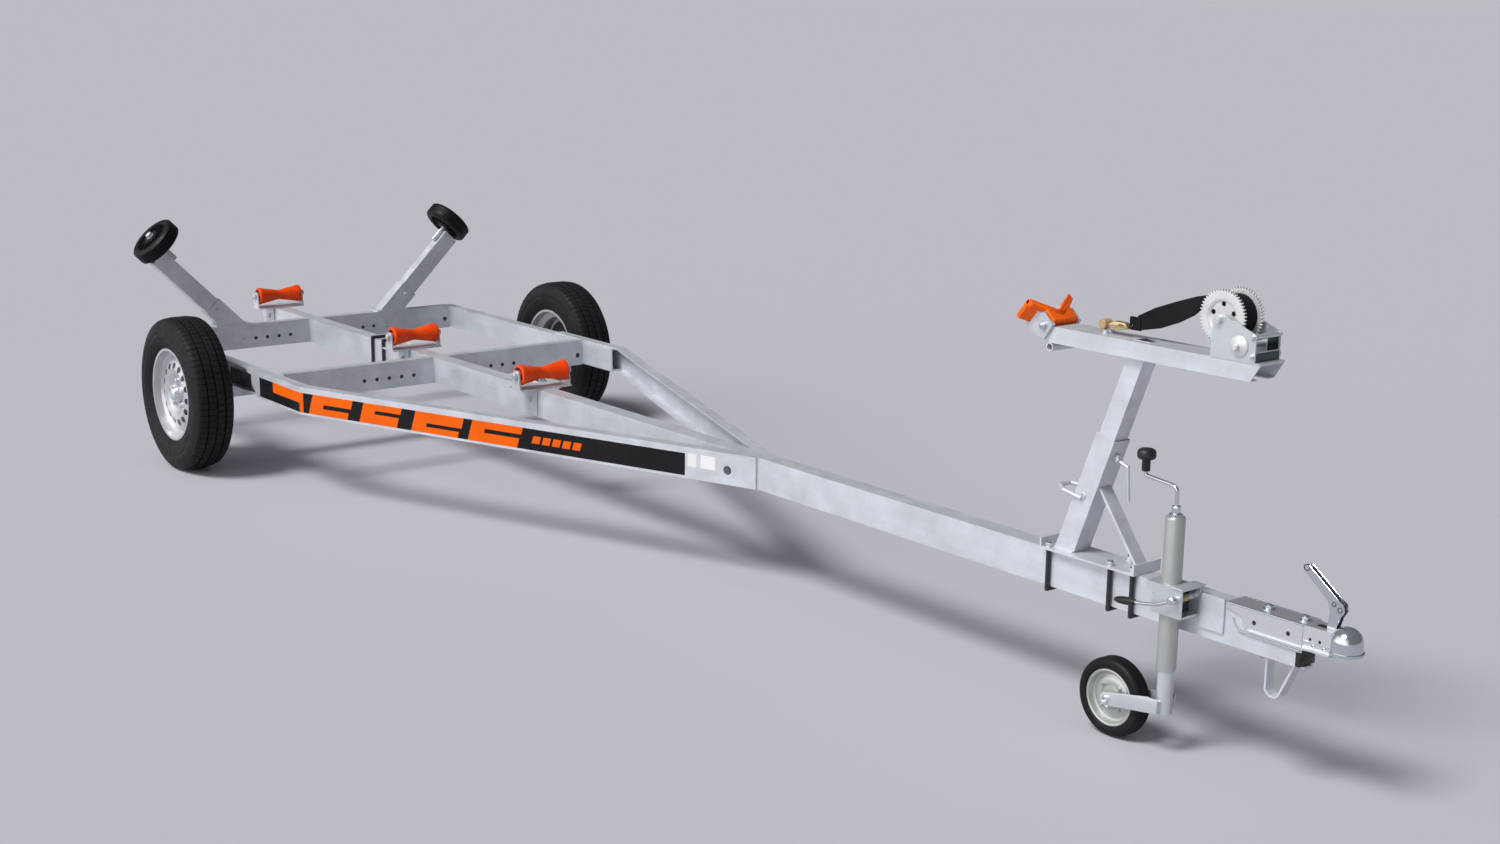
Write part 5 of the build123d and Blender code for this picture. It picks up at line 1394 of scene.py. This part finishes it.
class TRAILER_OT_coupling(bpy.types.Operator):
    """Models the ridges, bolts and lever of the ball coupling, and the beam's end plug"""

    bl_idname = "trailer.coupling"
    bl_label = "Coupling"

    def execute(self, context):
        self.shell()
        self.bolts()
        self.handle()
        self.plug()
        return {"FINISHED"}

    def shell(self):
        """The bright rolled ridges of the two pressings, and dark rounds of painted shade over their holes.
        """
        ridges = []

        def ridge(points, radius):
            ridges.append(rod("ridge", [at(*p) for p in points], radius))

        end, low, top = SLEEVE_END, SLEEVE_LOW, SLEEVE_TOP
        for s in SIDES:
            y = s * SLEEVE_HALF
            n = s * (NECK_HALF + 1)
            ridge([(4262, y, low + 7), (4280, y, low + 4), (end - 2, y, low + 4)], 0.0026)
            ridge([(4262, y, low + 7), (4250, y, low + 18), (4244, y, low + 34)], 0.0016)
            for z, r in ((low + 12, 0.0024), (low + 30, 0.0016)):
                ridge([(end - 6, y * 0.92, z), (end + 12, n, z), (4500, n, z), (4512, s * 31, z)], r)
            ridge([(4226, y * 0.98, top - 1), (end, y * 0.98, top - 1)], 0.0022)
        arc = (radians(15 * k) for k in range(-8, 9))
        ridge([(HEAD_AT[0] + HEAD_R * cos(a), HEAD_R * sin(a), HEAD_AT[1] - 24) for a in arc], 0.0020)
        finished("coupling_ridges", ridges, 50, "chrome", "chassis", "white_zinc")
        # painted shade: dark rounds over the holes of the pressings and the top of the neck
        hole_shades = []
        for s in SIDES:
            for x, z, y, r in HOLE_SHADE_SPOTS:
                hole_shades.append(self.disc(at(x, s * y, z), (0, s, 0), r))
        hole_shades.append(self.disc(at(4462, 0, NECK_TOP), UP, 9.0))
        finished("coupling_hole_shades", hole_shades, 40, "plastic", "chassis", None)

    def disc(self, spot, way, radius):
        """A dark round of painted shade, standing a fifth of a millimetre out of the pressing."""
        r = radius / 1000
        return spun("well", [(0.0, -0.001), (r, -0.001), (r, 0.0001), (r * 0.8, 0.0002), (0.0, 0.0001)],
                    spot, way, 24, False)

    def bolts(self):
        """The two big bolts through the beam, the rivets of the neck and the safety loop's bolts."""
        parts = nuts(0.0125, 0.0090, [(at(x, 0, SLEEVE_TOP), UP) for x in (4318, 4418)])
        parts += nuts(0.0085, 0.0060, [(at(x, 0, 304.6), (0, 0, -1)) for x in (4310, 4426)])
        rivet = [(0.0, 0.0034), (0.0030, 0.0030), (0.0052, 0.0012), (0.0056, -0.001), (0.0, -0.001)]
        parts += [
            spun("rivet", rivet, at(x, s * NECK_HALF, 372), (0, s, 0), 20, False)
            for s in SIDES for x in (4462, 4490)
        ]
        latch = brick("latch", at(4493, -8, 412), at(4510, 8, 419), 0.002)
        finished("coupling_bolts", parts + [latch], 35, "chrome", "chassis", "white_zinc")

    def handle(self):
        """The lever: two pressed cheeks, a web between them, its pins, and painted shade inside it and round
        its pins.
        """
        parts = []
        for start in (-0.0088, 0.0062):
            cheek = [(p.x, start, p.z) for p in on_lever(LEVER_CHEEK, 0)]
            parts.append(plate("cheek", cheek, 0.0026, "y", 0.0006, 1))
        parts.append(plate("web", on_lever(LEVER_WEB, -7.5), 0.015, "y", 0.0004, 1))
        for a, b, r in LEVER_PINS:
            pin = [(0.0, -0.0090), (r * 0.6, -0.0090), (r, -0.0084),
                   (r, 0.0084), (r * 0.6, 0.0090), (0.0, 0.0090)]
            parts.append(spun("pin", pin, on_lever([(a, b)], 0)[0], ACROSS, 24, False))
        # painted shade: dark sheets inside the lever's groove and dark rings round its pins
        shades = [
            plate("lever_painted_shade", on_lever(LEVER_INSET, 5.3), 0.0008, "y", 0.0002, 1),
            plate("shade", on_lever(LEVER_FRONT, -6.1), 0.0115, "y", 0.0002, 1),
        ]
        for a, b, r in LEVER_PINS:
            edge = [(r, -0.0004), (r + 0.0022, -0.0004), (r + 0.0022, 0.0), (r, 0.0)]
            shades.append(spun("ring", edge, on_lever([(a, b)], -9.0)[0], (0, -1, 0), 24))
        finished("lever_painted_shade", shades, None, "dark_zinc", "chassis", None)
        finished("coupling_lever", parts, 35, "chrome", "chassis", "white_zinc", "coupling_handle")

    def plug(self):
        """The beam's end plug with its rounded corners."""
        low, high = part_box("beam_plug")
        piece = brick("beam_end_plug", low, high, 0.0032, 3)
        wear(smooth(piece, 40), "plastic", "chassis", "black_plastic", "beam_plug")


# ---------------------------------------------------------------- fastenings and welds

U_BOLTS = (3663.0, 3869.0, 3941.0)
U_BOLT_Y = 37.0
PLATE_TOP = 416.3
STAND_X, STAND_LEAN, STAND_HALF = 3706.0, radians(20.2), 30.0
CLAMP_UP, GRIP_UP = 295, 165     # how far along the stand's tube its nut and its grip bar sit
GRIP_R = 0.0075


class TRAILER_OT_fastenings(bpy.types.Operator):
    """Adds the nuts of the winch stand and the weld beads of the stand and the frame"""

    bl_idname = "trailer.fastenings"
    bl_label = "Fastenings and welds"

    def execute(self, context):
        self.nuts()
        self.stand_welds(context.scene.trailer_sizes.weld_radius)
        self.frame_welds(context.scene.trailer_sizes.weld_radius)
        return {"FINISHED"}

    def on_stand(self, up, out, y=0.0):
        """A place on the leaning tube: so far along it and so far in front of its middle line."""
        return at(STAND_X + up * sin(STAND_LEAN) + out * cos(STAND_LEAN), y,
                  PLATE_TOP + up * cos(STAND_LEAN) - out * sin(STAND_LEAN))

    def nuts(self):
        """The U-bolts' nuts on the stand's plate and the nut on the front of its tube."""
        spots = [(at(x, s * U_BOLT_Y, PLATE_TOP), UP) for x in U_BOLTS for s in SIDES]
        spots.append((self.on_stand(CLAMP_UP, STAND_HALF), (cos(STAND_LEAN), 0, -sin(STAND_LEAN))))
        finished("frame_nuts", nuts(0.0098, 0.0105, spots), 35, "zinc", "chassis", "zinc")

    def stand_welds(self, radius):
        """Beads round the foot of the stand's tube and at the ends of the grip bar."""
        beads = []
        lift = PLATE_TOP + 1
        reach, h = STAND_HALF / cos(STAND_LEAN), STAND_HALF
        corners = [(STAND_X - reach, -h), (STAND_X + reach, -h), (STAND_X + reach, h), (STAND_X - reach, h)]
        for a, b in zip(corners, corners[1:] + corners[:1]):
            beads.append(weld_bead(at(*a, lift), at(*b, lift), radius))
        for s in SIDES:
            spot = self.on_stand(GRIP_UP, 0, s * (h + 0.5))
            beads.append(rod("ring", round_about(spot, GRIP_R, range(0, 361, 45)), radius * 0.8))
        finished("stand_welds", beads, None, "galvanised", "chassis", "galvanised")

    def frame_welds(self, radius):
        """Beads down the corners between the crossbeams and the long members."""
        beads = []
        for node in ("crossbeam_mid", "crossbeam_rear"):
            low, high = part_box(node)
            for x in (low[0], high[0]):
                for s in SIDES:
                    for y in (BEAM_SIDE, high[1] - 0.001):
                        foot, top = (x, s * y, low[2] + 0.004), (x, s * y, high[2] - 0.004)
                        beads.append(weld_bead(foot, top, radius))
        finished("frame_welds", beads, None, "galvanised", "chassis", "galvanised")


# ---------------------------------------------------------------- hollows and their painted shade

HOLE_Z = BEAM_LOW + 0.46 * (BEAM_TOP - BEAM_LOW) - 0.006
HOLE_Y0, HOLE_PITCH, HOLE_COUNT = 0.118, 0.052, 5
# how far in from the rim's outer edge the dark drum of painted shade lies
SHADE_DRUM_DEPTH = 0.036
# radii of the dark rounds of painted shade over the crossbeams' holes
HOLE_R, SIDE_HOLE_R = 0.0074, 0.0097
HOLE_BACK, HOLE_PROUD = 0.0012, 0.0017
# the dark rounds of painted shade on the rims' vents: their count, ring, depth and slope
VENT_COUNT, VENT_RING, VENT_DEPTH, VENT_SLOPE = 15, 0.108, 0.0197, 0.308


class TRAILER_OT_painted_shades(bpy.types.Operator):
    """Adds painted shade: dark rounds over the crossbeams' holes, in the rollers' ends and on the rims'
    vents, a dark drum behind the vents and a dark sheet in the post
    """

    bl_idname = "trailer.hollows"
    bl_label = "Painted shade"

    def execute(self, context):
        self.crossbeams()
        self.post_end()
        for spot in ROLLER_SPOTS:
            self.roller_ends("keel_roller_" + spot)
        wear_pair(self.painted_shade_drum(), "black", "wheel", None)
        wear_pair(self.vents(), "black", "wheel", None)
        return {"FINISHED"}

    def ring(self, spot, axis, inner, outer, thick):
        """A flat ring about an axis, its front face at the spot; with no inner radius it is a disc."""
        profile = [(inner, -thick), (outer, -thick), (outer, -0.0002), (outer - 0.0002, 0.0), (inner, 0.0)]
        return spun("ring", profile, spot, axis, 32, inner > 0)

    def crossbeams(self):
        """A dark round of painted shade over every hole, with a bolt in the last one of each side of the rear
        beam.
        """
        parts = []
        tips = []
        for node in ("crossbeam_mid", "crossbeam_rear"):
            face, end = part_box(node)[1][:2]
            for s in SIDES:
                for k in range(HOLE_COUNT):
                    spot = Vector((face - HOLE_BACK, s * (HOLE_Y0 + k * HOLE_PITCH), HOLE_Z))
                    if node == "crossbeam_rear" and k == HOLE_COUNT - 1:
                        tips.append((spot + Vector((HOLE_BACK, 0, 0)), AHEAD))
                    else:
                        spot += Vector((HOLE_PROUD, 0, 0))
                        parts.append(self.ring(spot, AHEAD, 0.0, HOLE_R, 0.0015))
                spot = Vector((face - HOLE_BACK, s * (end - 0.022), HOLE_Z))
                parts.append(self.ring(spot, AHEAD, 0.0, SIDE_HOLE_R, 0.0015))
        finished("crossbeam_hole_painted_shades", parts, 35, "black", "chassis", None)
        finished("crossbeam_bolts", nuts(0.0062, 0.0050, tips), 35, "zinc", "chassis", "zinc")

    def post_end(self):
        """Painted shade: a dark sheet for the inside of the post, seen through the top of the arm."""
        low, high = at(3893, -21, 981), at(3938, 21, 982.6)
        wear(smooth(brick("post_painted_shade", low, high, 0.0004, 1)), "black", "winch_mast", None)

    def roller_ends(self, node):
        """Painted shade: a dark ring inside each hollow end of a keel roller."""
        parts = []
        for s in SIDES:
            spot = Vector(middle_of(node)) + Vector((0, s * (ROLLER_HALF - 0.0045), 0))
            parts.append(self.ring(spot, (0, s, 0), 0.0168, ROLLER_END_R - 0.0106, 0.002))
        finished(node + "_ends", parts, 35, "plastic", node, None)

    def painted_shade_drum(self):
        """Painted shade behind the vents of the rim: a dull black drum."""
        face = RIM_OUT - SHADE_DRUM_DEPTH
        profile = [(0.074, -0.020), (0.116, -0.020), (0.118, -0.018), (0.118, -0.002), (0.117, 0.0),
                   (0.074, 0.0)]
        return smooth(spun("brake_drum_left", profile, (AXLE_X, face, AXLE_Z), ACROSS, 64), 35)

    def vents(self):
        """Painted shade: dark rounds that widen the vents of the rim's disc."""
        middle = Vector((AXLE_X, RIM_OUT - VENT_DEPTH, AXLE_Z))
        profile = [(0.0, -0.0006), (0.0112, -0.0006), (0.0115, -0.0003), (0.0113, 0.0), (0.0, 0.0)]
        first = spun("vent", profile, (0, 0, 0), ACROSS, 28, False)
        parts = []
        for k in range(VENT_COUNT):
            a = 2 * pi * k / VENT_COUNT
            out = Vector((sin(a), 0, cos(a)))
            normal = (Vector(ACROSS) + VENT_SLOPE * out).normalized()
            up = (out - normal * out.dot(normal)).normalized()
            turn = Matrix((normal.cross(up), normal, up * 1.08)).transposed().to_4x4()
            place = Matrix.Translation(middle + out * VENT_RING + normal * 0.0007)
            parts.append(copied(first, "vent", place @ turn))
        dropped(first)
        return joined("rim_vents_left", parts)


# ---------------------------------------------------------------- stage

FLOOR_R = 4000.0
KEY_WAY = (0.06, 0.72, -1.0)       # the way the key lamp shines
KEY_ENERGY, KEY_SOFTNESS = 2.72, radians(22.0)
NEAR_SIDE = (-0.20, -0.98, 0.0)     # the way to the bright wall
WALL = (1.55, 1.54, 1.57)           # how bright the wall is
ROOM = (0.15, 0.15, 0.165)           # and the rest of the room
DARK, LIGHT = (0.0,) * 3, (1.0,) * 3


class TRAILER_OT_stage(bpy.types.Operator):
    """Adds the floor, the lamp, the world and the camera"""

    bl_idname = "trailer.stage"
    bl_label = "Stage"

    def execute(self, context):
        tone = tuple(context.scene.trailer_finishes.floor)
        begin()
        bpy.ops.mesh.primitive_circle_add(vertices=96, radius=FLOOR_R, fill_type="NGON",
                                          location=(0, 0, -0.0005))
        floor = settle(bpy.context.object, "studio_floor")
        ground = bpy.data.materials.new("studio floor")
        ground.use_nodes = True
        inputs = ground.node_tree.nodes["Principled BSDF"].inputs
        inputs["Base Color"].default_value = (*tone, 1.0)
        inputs["Roughness"].default_value = 0.9
        inputs["Specular IOR Level"].default_value = 0.0
        floor.data.materials.append(ground)
        self.lamps()
        self.world(context, tone)
        self.camera(context)
        return {"FINISHED"}

    def lamps(self):
        """A broad key from above on the near side."""
        begin()
        bpy.ops.object.light_add(type="SUN", location=(0, 0, 6))
        lamp = bpy.context.object
        lamp.name = "key lamp"
        lamp.rotation_euler = Vector(KEY_WAY).to_track_quat("-Z", "Y").to_euler()
        lamp.data.energy = KEY_ENERGY
        lamp.data.angle = KEY_SOFTNESS

    def world(self, context, tone):
        """A dim room with one bright wall low on the near side, and the backdrop's colour at its foot."""
        world = bpy.data.worlds.new("studio")
        world.use_nodes = True
        context.scene.world = world
        world.node_tree.nodes.clear()
        tree = Tree(world.node_tree)
        out = tree.nodes.new("ShaderNodeOutputWorld")
        room = tree.nodes.new("ShaderNodeBackground")
        place = tree.nodes.new("ShaderNodeTexCoord").outputs["Generated"]
        split = tree.nodes.new("ShaderNodeSeparateXYZ")
        tree.links.new(place, split.inputs[0])
        near = tree.nodes.new("ShaderNodeVectorMath")
        near.operation = "DOT_PRODUCT"
        near.inputs[1].default_value = NEAR_SIDE
        tree.links.new(place, near.inputs[0])
        wall = tree.ramp(near.outputs["Value"], DARK, LIGHT, 0.45, 0.85)
        low = tree.ramp(split.outputs["Z"], LIGHT, DARK, 0.50, 0.75)
        foot = tree.ramp(split.outputs["Z"], tone, ROOM, 0.01, 0.10)
        glow = tree.mixed("MULTIPLY", 1.0, wall, low)
        bright = tree.mixed("MULTIPLY", 1.0, glow, WALL)
        tree.links.new(tree.mixed("ADD", 1.0, foot, bright), room.inputs["Color"])
        tree.links.new(room.outputs[0], out.inputs["Surface"])
        context.scene.view_settings.view_transform = "Standard"

    def camera(self, context):
        """Looks at the trailer from its front right, from the height of a standing person."""
        begin()
        bpy.ops.object.camera_add(location=at(*CAMERA_PLACE))
        camera = bpy.context.object
        camera.name = "main camera"
        ahead = Vector((-sin(CAMERA_TURN) * cos(CAMERA_TILT), cos(CAMERA_TURN) * cos(CAMERA_TILT),
                        -sin(CAMERA_TILT)))
        camera.rotation_euler = (ahead.to_track_quat("-Z", "Y").to_matrix()
                                 @ Matrix.Rotation(CAMERA_ROLL, 3, "Z")).to_euler()
        camera.data.sensor_width = 36.0
        camera.data.lens = CAMERA_LENS
        camera.data.shift_x = CAMERA_SHIFT[0]
        camera.data.shift_y = CAMERA_SHIFT[1]
        camera.data.clip_end = 2 * FLOOR_R
        context.scene.camera = camera


# ---------------------------------------------------------------- panel and registration

STEPS = (
    TRAILER_OT_finishes,
    TRAILER_OT_steelwork,
    TRAILER_OT_tyres,
    TRAILER_OT_wheels,
    TRAILER_OT_keel_rollers,
    TRAILER_OT_side_supports,
    TRAILER_OT_film,
    TRAILER_OT_winch,
    TRAILER_OT_bow_stop,
    TRAILER_OT_jockey,
    TRAILER_OT_coupling,
    TRAILER_OT_fastenings,
    TRAILER_OT_painted_shades,
    TRAILER_OT_stage,
)


class TRAILER_PT_panel(bpy.types.Panel):
    """Lists the steps that dress the trailer, with their sizes and colours"""

    bl_idname = "TRAILER_PT_panel"
    bl_label = "Boat trailer"
    bl_space_type = "VIEW_3D"
    bl_region_type = "UI"
    bl_category = "Trailer"

    def draw(self, context):
        column = self.layout.column()
        for group in (context.scene.trailer_sizes, context.scene.trailer_finishes):
            for name in group.bl_rna.properties.keys():
                if name not in ("rna_type", "name"):
                    column.prop(group, name)
        for step in STEPS:
            column.operator(step.bl_idname)


CLASSES = (TrailerFinishes, TrailerSizes, *STEPS, TRAILER_PT_panel)


def register():
    for item in CLASSES:
        bpy.utils.register_class(item)
    bpy.types.Scene.trailer_finishes = PointerProperty(type=TrailerFinishes)
    bpy.types.Scene.trailer_sizes = PointerProperty(type=TrailerSizes)


def unregister():
    del bpy.types.Scene.trailer_sizes
    del bpy.types.Scene.trailer_finishes
    for item in reversed(CLASSES):
        bpy.utils.unregister_class(item)


def main():
    """Registers the add-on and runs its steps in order."""
    register()
    for step in STEPS:
        group, name = step.bl_idname.split(".")
        getattr(getattr(bpy.ops, group), name)()
    begin()


if __name__ == "__main__":
    main()
